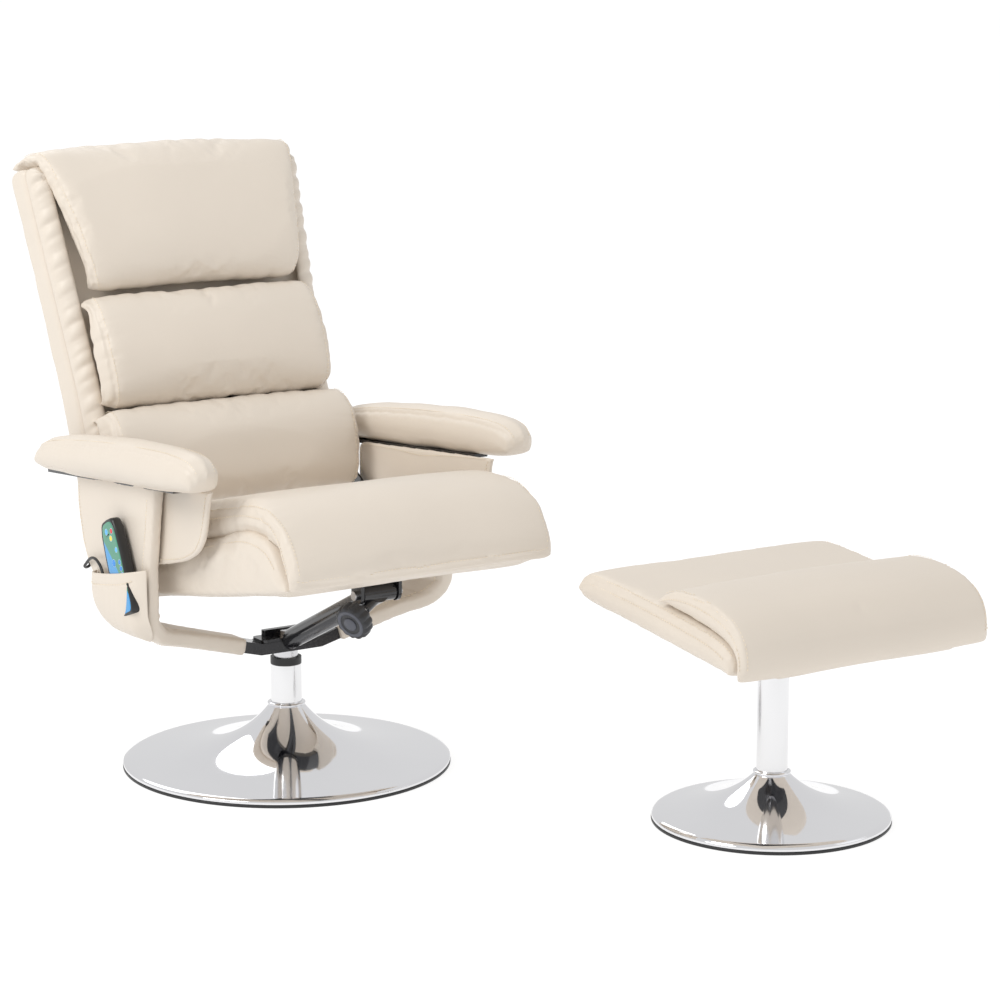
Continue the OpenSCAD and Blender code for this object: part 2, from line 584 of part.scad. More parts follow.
// Hinge plates on the shell's sides, down and forward to the pivot on the arm frame.
hinge_in = back_low_w / 2 + soft_gap;
hinge_t = 4;
hinge_at = [pivot_y - back_foot_y, pivot_z - back_foot_z];
hinge_local = [hinge_at[0] * cos(back_lean) - hinge_at[1] * sin(back_lean),
    hinge_at[0] * sin(back_lean) + hinge_at[1] * cos(back_lean)];
module back_hinges() color("black") at_back()
    both_sides() difference() {
        union() {
            along_x(hinge_in, hinge_in + hinge_t) union() {
                translate(hinge_local) circle(14);
                polygon([hinge_local + [-10, 9], [-shell_d + 4, 34], [-shell_d + 4, 96], [-shell_d + 40, 96],
                    [-shell_d + 40, 20], hinge_local + [9, -10]]);
            }
            for (z = hinge_bolt_z) translate([back_low_w / 2 - shell_t - 3, -shell_d + 22, z]) rotate([0, 90, 0])
                cylinder(r = hinge_bolt_r, h = shell_t + 3.8);
        }
        translate([200, hinge_local[0], hinge_local[1]]) rotate([0, 90, 0]) cylinder(r = shaft_r + run_gap, h = 90);
    }

/* Handset, pocket and lead */
module at_handset() { translate([handset_x, handset_y, handset_z]) rotate([-handset_lean, 0, 0]) children(); }
module handset_outline(inset) {
    w = handset_w / 2 - inset;
    union() {
        polygon([[-w + 5, inset], [w - 5, inset], [w, 8 + inset], [w, handset_len * 0.75], [w - 6, handset_len - 6 - inset],
            [w - 14, handset_len - inset], [-w + 14, handset_len - inset], [-w + 6, handset_len - 6 - inset],
            [-w, handset_len * 0.75], [-w, 8 + inset]]);
    }
}
face_t = 1;
module handset_case() color("black") at_handset()
    difference() {
        union() {
            along_x(-handset_t / 2 + 3, handset_t / 2) handset_outline(0);
            along_x(-handset_t / 2, -handset_t / 2 + 3) handset_outline(2);
            translate([0, handset_w / 2 - 1, 18]) rotate([-90, 0, 0]) cylinder(r = 5, h = 4, $fn = 32);
        }
        along_x(-handset_t / 2 - 1, -handset_t / 2 + face_t) handset_outline(5);
        along_x(-handset_t / 2 + 4, handset_t / 2 - 3) handset_outline(4);
        translate([0, handset_w / 2 - 5, 18]) rotate([-90, 0, 0]) cylinder(r = cord_d / 2 + 0.2, h = 9, $fn = 32);
    }
module handset_face() color("teal") at_handset()
    difference() {
        along_x(-handset_t / 2 + 0.2, -handset_t / 2 + face_t) handset_outline(5.3);
        key_spots(4.3);
    }
// Keys: two rows at the top and a slanting row below.
key_places = [[14, 140], [-4, 142], [2, 128], [-8, 108], [-12, 88], [-13, 76], [-14, 64], [-14, 52]];
module key_spots(r) {
    for (p = key_places) translate([-handset_t / 2 - 2, p[0], p[1]]) rotate([0, 90, 0])
        cylinder(r = r, h = 4, $fn = 32);
}
module handset_keys() color("royalblue") at_handset()
    for (p = key_places) translate([-handset_t / 2 - 0.3, p[0], p[1]]) rotate([0, 90, 0])
        cylinder(r = 4, h = 0.3 + face_t, $fn = 32);
// Pocket: a leather wall off the left sleeve, closed below and at both ends.
// Its outline seen from the side, drawn in by i and rising above the rim by up.
function pocket_side(i, up) = [
    [pocket_y[0] + i, pocket_rim[0] + up], [pocket_y[1] - i, pocket_rim[1] + up], [pocket_y[1] - 8 - i, 315],
    [pocket_y[1] - 20 - i, 292 + i / 2], [pocket_y[1] - 44 - i, 272 + i], [30, 259 + i], [-52, 259 + i],
    [pocket_y[0] + i, 300]];
module handset_pocket() color(leather)
    mirror([1, 0, 0]) difference() {
        intersection() {
            along_y(-150, 150) polygon([[284, 256], [308, 266], [327, 282], [334, 308], [334, 420], [298, 420]]);
            along_x(200, 400) polygon(pocket_side(0, 0));
        }
        intersection() {
            along_y(-150, 150) polygon([[298, 293], [318, 293], [331, 297], [331, 430], [290, 430]]);
            along_x(200, 400) polygon(pocket_side(pocket_wall, 12));
        }
        along_y(-200, 260) polygon(band(frame_line(), sleeve_t + 2 * soft_gap));
    }
// Grommet in the sleeve's rear edge, where the lead goes in.
gland_at = [-290, 162, 359.5];
gland_pitch = 33;
module cord_gland() color("black") {
    translate(gland_at) rotate([90 - gland_pitch, 0, 0]) difference() {
        union() {
            cylinder(r = 5, h = 7.5);
            translate([0, 0, 4.5]) cylinder(r = 7, h = 3);
        }
        translate([0, 0, -1]) cylinder(r = cord_d / 2 + 0.1, h = 9);
    }
}
// Tube of d diameter along a route: a ring of points at each step, turned with the path.
function unit(v) = v / max(norm(v), 0.0001);
function tangent(p, i) = unit(p[min(i + 1, len(p) - 1)] - p[max(i - 1, 0)]);
function ring_at(p, i, d, n) = let (t = tangent(p, i), a = unit(cross(t, [0.3, 0.2, 0.93])), b = cross(t, a))
    [for (k = [0:n - 1]) p[i] + d / 2 * (a * cos(360 * k / n) + b * sin(360 * k / n))];
module tube(p, d, n = 8) {
    m = len(p);
    polyhedron(
        points = [for (i = [0:m - 1]) each ring_at(p, i, d, n)],
        faces = concat([[for (k = [0:n - 1]) k]], [[for (k = [n - 1:-1:0]) (m - 1) * n + k]],
            [for (i = [0:m - 2], k = [0:n - 1]) [i * n + k, (i + 1) * n + k, (i + 1) * n + (k + 1) % n, i * n + (k + 1) % n]]),
        convexity = 8);
}
module handset_cord() color("black") tube(cord_route, cord_d);

/* Footstool */
stool_col_r = 26;
stool_neck_r = stool_col_r + 4;
module stool_base_shell() color("silver") at_stool() spun_base(stool_r, stool_neck_r, stool_neck_h);
module stool_floor_ring() color("black") at_stool()
    ring(stool_r - spun_t - 0.5 + edge_w, stool_r - 20, 0, ring_h);
module stool_ballast() color(steel) at_stool() ring(stool_r - 26, 0, ring_h - 1, ballast_t);
module stool_column() color("lightgray") at_stool()
    ring(stool_col_r, stool_col_r - spun_t, ring_h - 1 + ballast_t, stool_top_z - 8 - ring_h + 1 - ballast_t);
module stool_collar() color("silver") at_stool()
    difference() {
        ring(stool_neck_r + 1.5, stool_col_r, stool_neck_h + 1, 5);
        ring(stool_neck_r + 2, stool_neck_r - 1, stool_neck_h + 4, 3);
    }
module stool_bush() color("black") at_stool() {
    translate([0, 0, stool_top_z - 8]) rotate_extrude($fn = 64)
        polygon([[bush_bore, -60], [stool_col_r - spun_t, -60], [stool_col_r - spun_t, 0], [stool_col_r, 0],
            [stool_col_r, 8], [bush_bore, 8]]);
}
stool_under = 340;
module at_cushion() { translate([stool_x, stool_y, stool_under]) rotate([stool_slope, 0, 0]) children(); }
module stool_spindle() color("lightgray") at_stool() {
    ring(spindle_d / 2, 0, stool_top_z - 90, 110);
    ring(stool_col_r + 2, spindle_d / 2, stool_top_z + 0.3, 8);
}
module stool_plate() color("black") {
    at_cushion() difference() {
        translate([0, 0, -5.5]) slab([220, 180, 5], 10);
        for (x = [-90, 90], y = [-70, 70]) translate([x, y, -8]) cylinder(r = 3.3, h = 10);
    }
    at_stool() difference() {
        translate([0, 0, stool_top_z + 8.3]) cylinder(r = stool_col_r + 2, h = 22);
        translate([0, 0, stool_top_z]) cylinder(r = spindle_d / 2, h = 20);
    }
    at_cushion() for (x = [-90, 90], y = [-70, 70]) translate([x, y, -8.5]) {
        cylinder(r = 6, h = 3);
        cylinder(r = 3, h = 24);
    }
}
cushion_front = -stool_d / 2 - 4;
cushion_rear = stool_d / 2 - 5;
module stool_cushion() color(leather) at_cushion()
    difference() {
        along_x(-stool_w / 2, stool_w / 2)
            polygon(concat([[cushion_rear - 10, 0], [cushion_front + 14, 0]],
                [for (a = [-90:-30:-180]) [cushion_front + 12 + 12 * cos(a), 12 + 12 * sin(a)]],
                [for (t = [0.1:0.1:0.9]) [cushion_front + 4 + (stool_d - 30) * t, 40 + 10 * sin(180 * t)]],
                [[cushion_rear - 14, 38], [cushion_rear, 24], [cushion_rear, 10]]));
        for (x = [-90, 90], y = [-70, 70]) translate([x, y, -1]) cylinder(r = 3.3, h = 18);
    }
// Overlay pad on the front half, wrapped down over the front edge.
module stool_pad() color(leather) at_cushion() along_x(-stool_w / 2 + 1, stool_w / 2 - 1)
    polygon([[-4, 52], [-28, 74], [-62, 92], [-100, 100], [-150, 99], [-196, 90], [-222, 74], [-238, 50], [-241, 28],
        [-236, 6], [-228, 0.5], [cushion_front - 0.5, 4], [cushion_front - 0.5, 18], [cushion_front + 3, 40],
        [cushion_front + 30, 46.5], [cushion_front + 90, 50.2], [cushion_front + 150, 51], [-40, 51.5]]);

base_shell();
base_ballast();
base_floor_ring();
base_column();
base_collar();
column_bushes();
base_bolt();
swivel_spindle();
hub_plate();
hub_bolt();
arm_frame();
boom_tube();
boom_shaft();
knob_bracket();
arm_brackets();
side_sleeve_left();
side_sleeve_right();
handset_pocket();
arm_pad_left();
arm_pad_right();
arm_panel_left();
arm_panel_right();
handset_cord();
cord_gland();
recline_knob();
knob_stud();
handset_case();
handset_face();
handset_keys();
seat_frame();
seat_springs();
seat_cushion();
seat_pad();
seat_underside();
control_box();
back_frame();
back_shell();
back_gusset();
head_pad();
middle_pad();
lower_pad();
heater_pad();
motor_housings();
back_hinges();
seat_motor();
rotor_upper_left();
rotor_upper_right();
rotor_lower_left();
rotor_lower_right();
rotor_seat();
stool_base_shell();
stool_ballast();
stool_floor_ring();
stool_column();
stool_collar();
stool_bush();
stool_spindle();
stool_plate();
stool_cushion();
stool_pad();
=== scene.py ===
import json
import math

import bmesh
import bpy
import numpy as np
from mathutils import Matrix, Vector


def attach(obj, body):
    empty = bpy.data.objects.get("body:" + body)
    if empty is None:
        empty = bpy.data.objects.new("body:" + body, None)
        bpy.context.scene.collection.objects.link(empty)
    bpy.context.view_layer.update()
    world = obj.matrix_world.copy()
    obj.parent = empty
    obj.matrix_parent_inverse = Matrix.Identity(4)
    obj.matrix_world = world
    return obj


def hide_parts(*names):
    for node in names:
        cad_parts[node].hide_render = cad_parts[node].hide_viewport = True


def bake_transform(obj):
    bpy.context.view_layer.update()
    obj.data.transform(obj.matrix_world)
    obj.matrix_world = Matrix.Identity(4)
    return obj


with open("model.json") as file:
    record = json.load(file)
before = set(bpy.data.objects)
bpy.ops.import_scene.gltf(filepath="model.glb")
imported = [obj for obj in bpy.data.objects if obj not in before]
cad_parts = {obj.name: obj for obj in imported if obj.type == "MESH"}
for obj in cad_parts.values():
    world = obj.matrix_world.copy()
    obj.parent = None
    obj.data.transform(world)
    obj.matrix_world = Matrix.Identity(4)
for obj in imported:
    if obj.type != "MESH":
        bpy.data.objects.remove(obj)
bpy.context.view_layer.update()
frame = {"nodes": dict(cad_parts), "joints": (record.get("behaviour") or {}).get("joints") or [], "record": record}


def jointNamed(name):
    return next(j for j in frame["joints"] if j["name"] == name)


# The leans come from the frame's own joint axes.
leans = {
    "back": math.asin(jointNamed("upper_left_motor_spin")["axis"][2]),
    "seat": math.asin(jointNamed("seat_motor_spin")["axis"][1]),
    "handset": math.asin(jointNamed("handset_lift")["axis"][1]),
    "arm": math.radians(4.8),
    "cushion": math.radians(-7),
}
origins = {
    "back": (0, 0.292, 0.446),
    "seat": (0, 0, 0.325),
    "handset": (-0.318, -0.045, 0.3115),
    "arm": (0, -0.290, 0.555),
    "cushion": (0.498, -0.734, 0.340),
}


def placed(points, where):
    # turns points about X by the piece's lean, then moves them to its origin
    a = leans[where]
    x, y, z = points[..., 0], points[..., 1], points[..., 2]
    turned = np.stack([x, y * math.cos(a) + z * math.sin(a), z * math.cos(a) - y * math.sin(a)], -1)
    return turned + np.array(origins[where])


def makeMesh(name, points, faces, material=None, smooth=True):
    mesh = bpy.data.meshes.new(name)
    mesh.from_pydata(points.tolist(), [], faces.tolist() if hasattr(faces, "tolist") else faces)
    mesh.validate()
    mesh.polygons.foreach_set("use_smooth", [smooth] * len(mesh.polygons))
    piece = bpy.data.objects.new(name, mesh)
    bpy.context.scene.collection.objects.link(piece)
    if material:
        mesh.materials.append(material)
    return piece


def gridFaces(rows, cols, closedRows=False, closedCols=True):
    # quads between neighbouring rows and columns of a grid of points
    i = np.arange(rows if closedRows else rows - 1)
    j = np.arange(cols if closedCols else cols - 1)
    a, b = np.meshgrid(i, j, indexing="ij")
    a2, b2 = (a + 1) % rows, (b + 1) % cols
    return np.stack([a * cols + b, a * cols + b2, a2 * cols + b2, a2 * cols + b], -1).reshape(-1, 4)


def surface(name, grid, material, closedRows=False, closedCols=True, merge=True, smooth=True):
    # a grid of points (rows, cols, 3) as a mesh, with its doubles merged and faces turned outwards
    rows, cols = grid.shape[:2]
    piece = makeMesh(name, grid.reshape(-1, 3), gridFaces(rows, cols, closedRows, closedCols), material, smooth)
    if merge:
        tidyMesh(piece, smooth)
    return piece


def tidyMesh(piece, smooth=True):
    bm = bmesh.new()
    bm.from_mesh(piece.data)
    bmesh.ops.remove_doubles(bm, verts=bm.verts, dist=2e-5)
    bmesh.ops.dissolve_degenerate(bm, dist=1e-6, edges=bm.edges)
    bmesh.ops.recalc_face_normals(bm, faces=bm.faces)
    bm.to_mesh(piece.data)
    bm.free()
    piece.data.polygons.foreach_set("use_smooth", [smooth] * len(piece.data.polygons))


def coords(piece):
    co = np.empty(len(piece.data.vertices) * 3)
    piece.data.vertices.foreach_get("co", co)
    return co.reshape(-1, 3)


def normalsOf(piece):
    out = np.empty(len(piece.data.vertices) * 3)
    piece.data.vertices.foreach_get("normal", out)
    return out.reshape(-1, 3)


def setCoords(piece, co):
    piece.data.vertices.foreach_set("co", co.reshape(-1))
    piece.data.update()


def appliedMesh(piece):
    # swaps the mesh for what its modifiers make of it, and drops them
    graph = bpy.context.evaluated_depsgraph_get()
    made = bpy.data.meshes.new_from_object(piece.evaluated_get(graph))
    materials = [m for m in piece.data.materials]
    piece.modifiers.clear()
    piece.data = made
    piece.data.materials.clear()
    for m in materials:
        piece.data.materials.append(m)
    piece.data.polygons.foreach_set("use_smooth", [True] * len(made.polygons))


def lerp(a, b, t):
    return a + (b - a) * t


def curveThrough(points, count):
    # Catmull-Rom curve through the points, sampled evenly by length
    p = np.asarray(points, float)
    ext = np.vstack([2 * p[0] - p[1], p, 2 * p[-1] - p[-2]])
    t = np.linspace(0, 1, 12, endpoint=False)[:, None]
    parts = []
    for i in range(len(p) - 1):
        a, b, c, d = ext[i:i + 4]
        parts.append(0.5 * (2 * b + (c - a) * t + (2 * a - 5 * b + 4 * c - d) * t**2 + (3 * b - a - 3 * c + d) * t**3))
    dense = np.vstack(parts + [p[-1:]])
    run = np.concatenate([[0], np.cumsum(np.linalg.norm(np.diff(dense, axis=0), axis=1))])
    s = np.linspace(0, run[-1], count)
    return np.stack([np.interp(s, run, dense[:, k]) for k in range(dense.shape[1])], -1)


def roundLoop(points, count, radius=0.01, steps=5):
    # closed outline with each corner cut back and bent round, sampled evenly by length
    p = np.asarray(points, float)
    out = []
    for i in range(len(p)):
        a, b, c = p[i - 1], p[i], p[(i + 1) % len(p)]
        r = min(radius, 0.45 * np.linalg.norm(a - b), 0.45 * np.linalg.norm(c - b))
        s, e = b + (a - b) / np.linalg.norm(a - b) * r, b + (c - b) / np.linalg.norm(c - b) * r
        for t in np.linspace(0, 1, steps):
            out.append((1 - t)**2 * s + 2 * t * (1 - t) * b + t * t * e)
    out = np.array(out + [out[0]])
    run = np.concatenate([[0], np.cumsum(np.linalg.norm(np.diff(out, axis=0), axis=1))])
    s = np.linspace(0, run[-1], count, endpoint=False)
    return np.stack([np.interp(s, run, out[:, k]) for k in range(out.shape[1])], -1)


def ripple(s, seed, waves, sharp=1.6):
    # sum of folded sines of a few lengths: narrow ridges with wider valleys, from 0 to about 1
    rng = np.random.default_rng(seed)
    total = 0
    for length, share in waves:
        phase, bend = rng.uniform(0, 6.28), rng.uniform(0.2, 0.6)
        wave = np.sin(math.pi * s / length + phase + bend * np.sin(s / length + phase))
        total = total + share * (1 - np.abs(wave))**sharp
    return total


def softNoise(p, seed, length):
    # smooth 3D variation from -1 to 1: eight sine waves in seeded directions
    rng = np.random.default_rng(seed)
    total = np.zeros(p.shape[:-1])
    for _ in range(8):
        d = rng.normal(size=3)
        d /= np.linalg.norm(d)
        total += np.sin(p @ d * 6.283 / length * rng.uniform(0.7, 1.4) + rng.uniform(0, 6.28))
    return total / 4


def nearest(co, path):
    # distance from each point to the nearest point of a path, and that point's place along it
    best, where = np.full(len(co), 1e9), np.zeros(len(co), int)
    for start in range(0, len(co), 4000):
        part = co[start:start + 4000]
        d = np.linalg.norm(part[:, None, :] - path[None], axis=2)
        where[start:start + 4000] = d.argmin(1)
        best[start:start + 4000] = d.min(1)
    return best, where


def laidOn(path, piece, step, count):
    # a path snapped onto a piece, then redrawn smoothly through every few of its points
    return curveThrough(snapped(path, piece)[0][::step], count)


def snapped(path, piece):
    # moves each path point onto the nearest vertex of a piece, and gives that vertex's normal
    co, no = coords(piece), normalsOf(piece)
    near = np.array([np.linalg.norm(co - p, axis=1).argmin() for p in path])
    return co[near], no[near]


class Sock:
    # a node socket, or a plain number, that Python's operators act on
    def __init__(self, tree, out):
        self.tree, self.out = tree, out

    def math(self, kind, a, b=None, clamp=False):
        node = self.tree.nodes.new("ShaderNodeMath")
        node.operation = kind
        node.use_clamp = clamp
        for i, v in enumerate((a, b)):
            if v is None:
                continue
            if isinstance(v, Sock):
                self.tree.links.new(v.out, node.inputs[i])
            else:
                node.inputs[i].default_value = v
        return Sock(self.tree, node.outputs[0])

    def __add__(self, v): return self.math("ADD", self, v)
    def __radd__(self, v): return self.math("ADD", v, self)
    def __sub__(self, v): return self.math("SUBTRACT", self, v)
    def __rsub__(self, v): return self.math("SUBTRACT", v, self)
    def __mul__(self, v): return self.math("MULTIPLY", self, v)
    def __rmul__(self, v): return self.math("MULTIPLY", v, self)
    def __truediv__(self, v): return self.math("DIVIDE", self, v)
    def __gt__(self, v): return self.math("GREATER_THAN", self, v)
    def __lt__(self, v): return self.math("LESS_THAN", self, v)
    def power(self, v): return self.math("POWER", self, v)
    def clamped(self): return self.math("ADD", self, 0.0, True)


class Finish:
    # one material: its node tree, its shader, and a single method that makes any other node
    def __init__(self, name, color, roughness, metallic=0.0, coat=0.0, coatRough=0.1, sheen=0.0, specular=0.5):
        self.material = bpy.data.materials.new(name)
        self.material.use_nodes = True
        self.tree = self.material.node_tree
        self.shader = self.tree.nodes["Principled BSDF"]
        self.put("Base Color", (*color, 1) if not isinstance(color, Sock) else color)
        self.put("Roughness", roughness)
        self.put("Metallic", metallic)
        self.put("Coat Weight", coat)
        self.put("Coat Roughness", coatRough)
        self.put("Sheen Weight", sheen)
        self.put("Specular IOR Level", specular)
        self.material.diffuse_color = (*color, 1)

    def put(self, socket, value):
        if isinstance(value, Sock):
            self.tree.links.new(value.out, self.shader.inputs[socket])
        else:
            self.shader.inputs[socket].default_value = value

    def node(self, kind, settings=None, output=0, **inputs):
        node = self.tree.nodes.new(kind)
        for key, value in (settings or {}).items():
            if key == "stops":
                while len(node.color_ramp.elements) < len(value):
                    node.color_ramp.elements.new(1.0)
                for element, (at, color) in zip(node.color_ramp.elements, value):
                    element.position, element.color = at, (*color, 1)
            else:
                setattr(node, key, value)
        for key, value in inputs.items():
            numbered = key[0] == "i" and key[1:].isdigit()
            socket = node.inputs[int(key[1:]) if numbered else key.replace("_", " ")]
            if isinstance(value, Sock):
                self.tree.links.new(value.out, socket)
            else:
                socket.default_value = value
        return Sock(self.tree, node.outputs[output])

    def place(self):
        return self.node("ShaderNodeTexCoord", output=3)

    def noise(self, where, scale, detail=3.0, rough=0.5):
        return self.node("ShaderNodeTexNoise", Vector=where, Scale=scale, Detail=detail, Roughness=rough)

    def cells(self, where, scale, feature="DISTANCE_TO_EDGE"):
        return self.node("ShaderNodeTexVoronoi", {"feature": feature}, Vector=where, Scale=scale)

    def mixed(self, factor, a, b):
        return self.node("ShaderNodeMix", {"data_type": "RGBA"}, 2, i0=factor, i6=a, i7=b)

    def bump(self, height, strength, distance, under=None):
        made = self.node("ShaderNodeBump", Height=height, Strength=strength, Distance=distance)
        if under is not None:
            self.tree.links.new(under.out, self.tree.nodes[-1].inputs["Normal"])
        return made


def leatherFinish(name, color, roughness=0.42):
    # smooth faux leather: pebble cells of about a millimetre, faint pores, slow waviness, slight tone drift
    look = {"cell": 780, "pore": 2600, "wave": 26, "drift": 7, "cellBump": 0.16, "waveBump": 0.10}
    f = Finish(name, color, roughness, sheen=0.0, specular=0.42)
    at = f.place()
    cells = f.cells(at, look["cell"])
    pores = f.noise(at, look["pore"], 2)
    wave = f.noise(at, look["wave"], 2)
    drift = f.noise(at, look["drift"], 3)
    dark, light = [c * 0.955 for c in color], [min(1, c * 1.02) for c in color]
    f.put("Base Color", f.mixed(drift, (*dark, 1), (*light, 1)))
    f.put("Roughness", roughness - 0.06 + drift * 0.08 + pores * 0.06)
    fine = f.bump(cells.power(0.6) + pores * 0.25, look["cellBump"], 0.0004)
    f.put("Normal", f.bump(wave, look["waveBump"], 0.004, fine))
    return f.material


def chromeFinish(name, color, roughness, brushed=0.0):
    # plated steel: a mirror with faint smears and, on the tube, fine lines round it
    f = Finish(name, color, roughness, metallic=1.0)
    at = f.place()
    smear = f.noise(at, 9, 4)
    f.put("Roughness", roughness + smear * 0.035)
    dim = [c * 0.96 for c in color]
    f.put("Base Color", f.mixed(smear, (*dim, 1), (*color, 1)))
    if brushed:
        stretched = f.node("ShaderNodeMapping", Vector=at, Scale=(8, 8, 900))
        f.put("Normal", f.bump(f.noise(stretched, 1, 2), brushed, 0.0004))
    return f.material


def paintFinish(name, color, roughness, orange=0.08, coat=0.0):
    # sprayed powder coat: orange-peel bump, tiny changes of gloss
    f = Finish(name, color, roughness, coat=coat)
    at = f.place()
    peel = f.noise(at, 420, 2)
    dust = f.noise(at, 30, 5)
    light = [c * 1.5 + 0.004 for c in color]
    f.put("Base Color", f.mixed(dust, (*color, 1), (*light, 1)))
    f.put("Roughness", roughness - 0.05 + dust * 0.12)
    f.put("Normal", f.bump(peel, orange, 0.0006))
    return f.material


def plasticFinish(name, color, roughness, grain=900, strength=0.15, metallic=0.0):
    # moulded plastic or cast metal: fine spark texture
    f = Finish(name, color, roughness, metallic=metallic)
    at = f.place()
    spark = f.noise(at, grain, 3)
    rub = f.noise(at, 40, 4)
    light = [min(1, c * 1.25 + 0.004) for c in color]
    f.put("Base Color", f.mixed(rub, (*color, 1), (*light, 1)))
    f.put("Roughness", roughness - 0.06 + rub * 0.14)
    f.put("Normal", f.bump(spark, strength, 0.0003))
    return f.material


def clothFinish(name, color, thread=900):
    # plain weave: two crossed waves
    f = Finish(name, color, 0.9)
    at = f.place()
    warp = f.node("ShaderNodeTexWave", {"bands_direction": "X"}, 1, Vector=at, Scale=thread / 6)
    weft = f.node("ShaderNodeTexWave", {"bands_direction": "Y"}, 1, Vector=at, Scale=thread / 6)
    f.put("Normal", f.bump(warp + weft, 0.3, 0.0005))
    f.put("Base Color", f.mixed(f.noise(at, 60, 4), (*color, 1), (*[c * 1.4 for c in color], 1)))
    return f.material


cream = (0.735, 0.660, 0.572)
finishes = {
    "cream_leather": leatherFinish("creamLeather", cream),
    "chrome_base": chromeFinish("mirrorChrome", (0.83, 0.83, 0.85), 0.03),
    "satin_column": chromeFinish("platedTube", (0.83, 0.83, 0.84), 0.16, 0.02),
    "bright_steel": chromeFinish("zincSteel", (0.66, 0.66, 0.68), 0.2, 0.05),
    "dark_steel": plasticFinish("rawPlate", (0.09, 0.09, 0.09), 0.55, 300, 0.3, 0.9),
    "black_paint": paintFinish("blackPowder", (0.008, 0.008, 0.010), 0.13, 0.05, 0.4),
    "black_plastic": plasticFinish("blackMoulding", (0.014, 0.014, 0.015), 0.42),
    "knob_plastic": plasticFinish("knobMoulding", (0.020, 0.021, 0.025), 0.38),
    "knobGrey": plasticFinish("knobGrey", (0.075, 0.08, 0.10), 0.4),
    "handset_plastic": plasticFinish("handsetMoulding", (0.012, 0.012, 0.012), 0.34, 1200, 0.08),
    "cord_jacket": plasticFinish("cordJacket", (0.012, 0.012, 0.012), 0.45, 500, 0.1),
    "lining_cloth": clothFinish("liningCloth", (0.012, 0.012, 0.012)),
    "heater_cloth": clothFinish("heaterCloth", (0.25, 0.04, 0.03)),
    "rotor_brass": chromeFinish("turnedBrass", (0.75, 0.58, 0.28), 0.25),
    "thread": clothFinish("seamThread", (0.72, 0.63, 0.50), 3000),
}


def printFinish(name, front, back, sweep, slant):
    # printed film: two flat inks that meet along a slanted, gently waving line
    f = Finish(name, front, 0.22, coat=0.4)
    at = f.place()
    f.node("ShaderNodeSeparateXYZ", Vector=at)
    split = f.tree.nodes[-1]
    y, z = Sock(f.tree, split.outputs[1]), Sock(f.tree, split.outputs[2])
    wave = f.node("ShaderNodeMath", {"operation": "SINE"}, i0=(z - sweep[1]) * 42.0)
    edge = (y - sweep[0] - (z - sweep[1]) * slant + wave * 0.003) * 900.0
    f.put("Base Color", f.mixed(edge.clamped(), (*front, 1), (*back, 1)))
    f.put("Normal", f.bump(f.noise(at, 160, 2), 0.04, 0.0005))
    return f.material


printLook = {"teal": (0.040, 0.262, 0.160), "blue": (0.028, 0.30, 0.66), "through": (-0.0289, 0.3757), "slant": 1.284}
finishes["handset_print"] = printFinish(
    "printedFilm", printLook["teal"], printLook["blue"], printLook["through"], printLook["slant"])


def keyFinish(name, color):
    return plasticFinish(name, color, 0.25, 400, 0.03)


keyFinishes = {
    "blue": keyFinish("keyBlue", (0.02, 0.22, 0.62)),
    "paleBlue": keyFinish("keyPaleBlue", (0.10, 0.42, 0.75)),
    "red": keyFinish("keyRed", (0.62, 0.03, 0.04)),
    "yellow": keyFinish("keyYellow", (0.80, 0.62, 0.04)),
}

slotOfNode = {s["node"]: s["material_slot"] for s in frame["record"]["subparts"]}
for nodeName, cadPiece in frame["nodes"].items():
    wanted = finishes.get(slotOfNode[nodeName], keyFinishes["blue"])
    cadPiece.data.materials.clear()
    cadPiece.data.materials.append(wanted)
    cadPiece.data.polygons.foreach_set("use_smooth", [False] * len(cadPiece.data.polygons))
print("materials ready")


def inflated(piece, voxel, cap, pressure=4.0, pins=None):
    # remeshes a closed form evenly, then lets cloth swell it by no more than the cap
    remesh = piece.modifiers.new("even", "REMESH")
    remesh.mode, remesh.voxel_size, remesh.use_smooth_shade = "VOXEL", voxel, True
    appliedMesh(piece)
    start = coords(piece)
    if cap <= 0:
        return
    cloth = piece.modifiers.new("swell", "CLOTH")
    s = cloth.settings
    s.quality, s.mass, s.air_damping = 4, 0.3, 2.0
    s.tension_stiffness = s.compression_stiffness = s.shear_stiffness = 18
    s.bending_stiffness = 2.0
    s.use_pressure, s.uniform_pressure_force = True, pressure
    s.effector_weights.gravity = 0
    if pins is not None:
        group = piece.vertex_groups.new(name="pins")
        group.add(np.flatnonzero(pins(start)).tolist(), 1.0, "REPLACE")
        s.vertex_group_mass = "pins"
    scene = bpy.context.scene
    cloth.point_cache.frame_start, cloth.point_cache.frame_end = 1, 20
    for number in range(1, 21):
        scene.frame_set(number)
    appliedMesh(piece)
    scene.frame_set(1)
    moved = coords(piece) - start
    far = np.linalg.norm(moved, axis=1, keepdims=True)
    setCoords(piece, start + moved * np.minimum(1, cap / np.maximum(far, 1e-9)))
    piece.vertex_groups.clear()


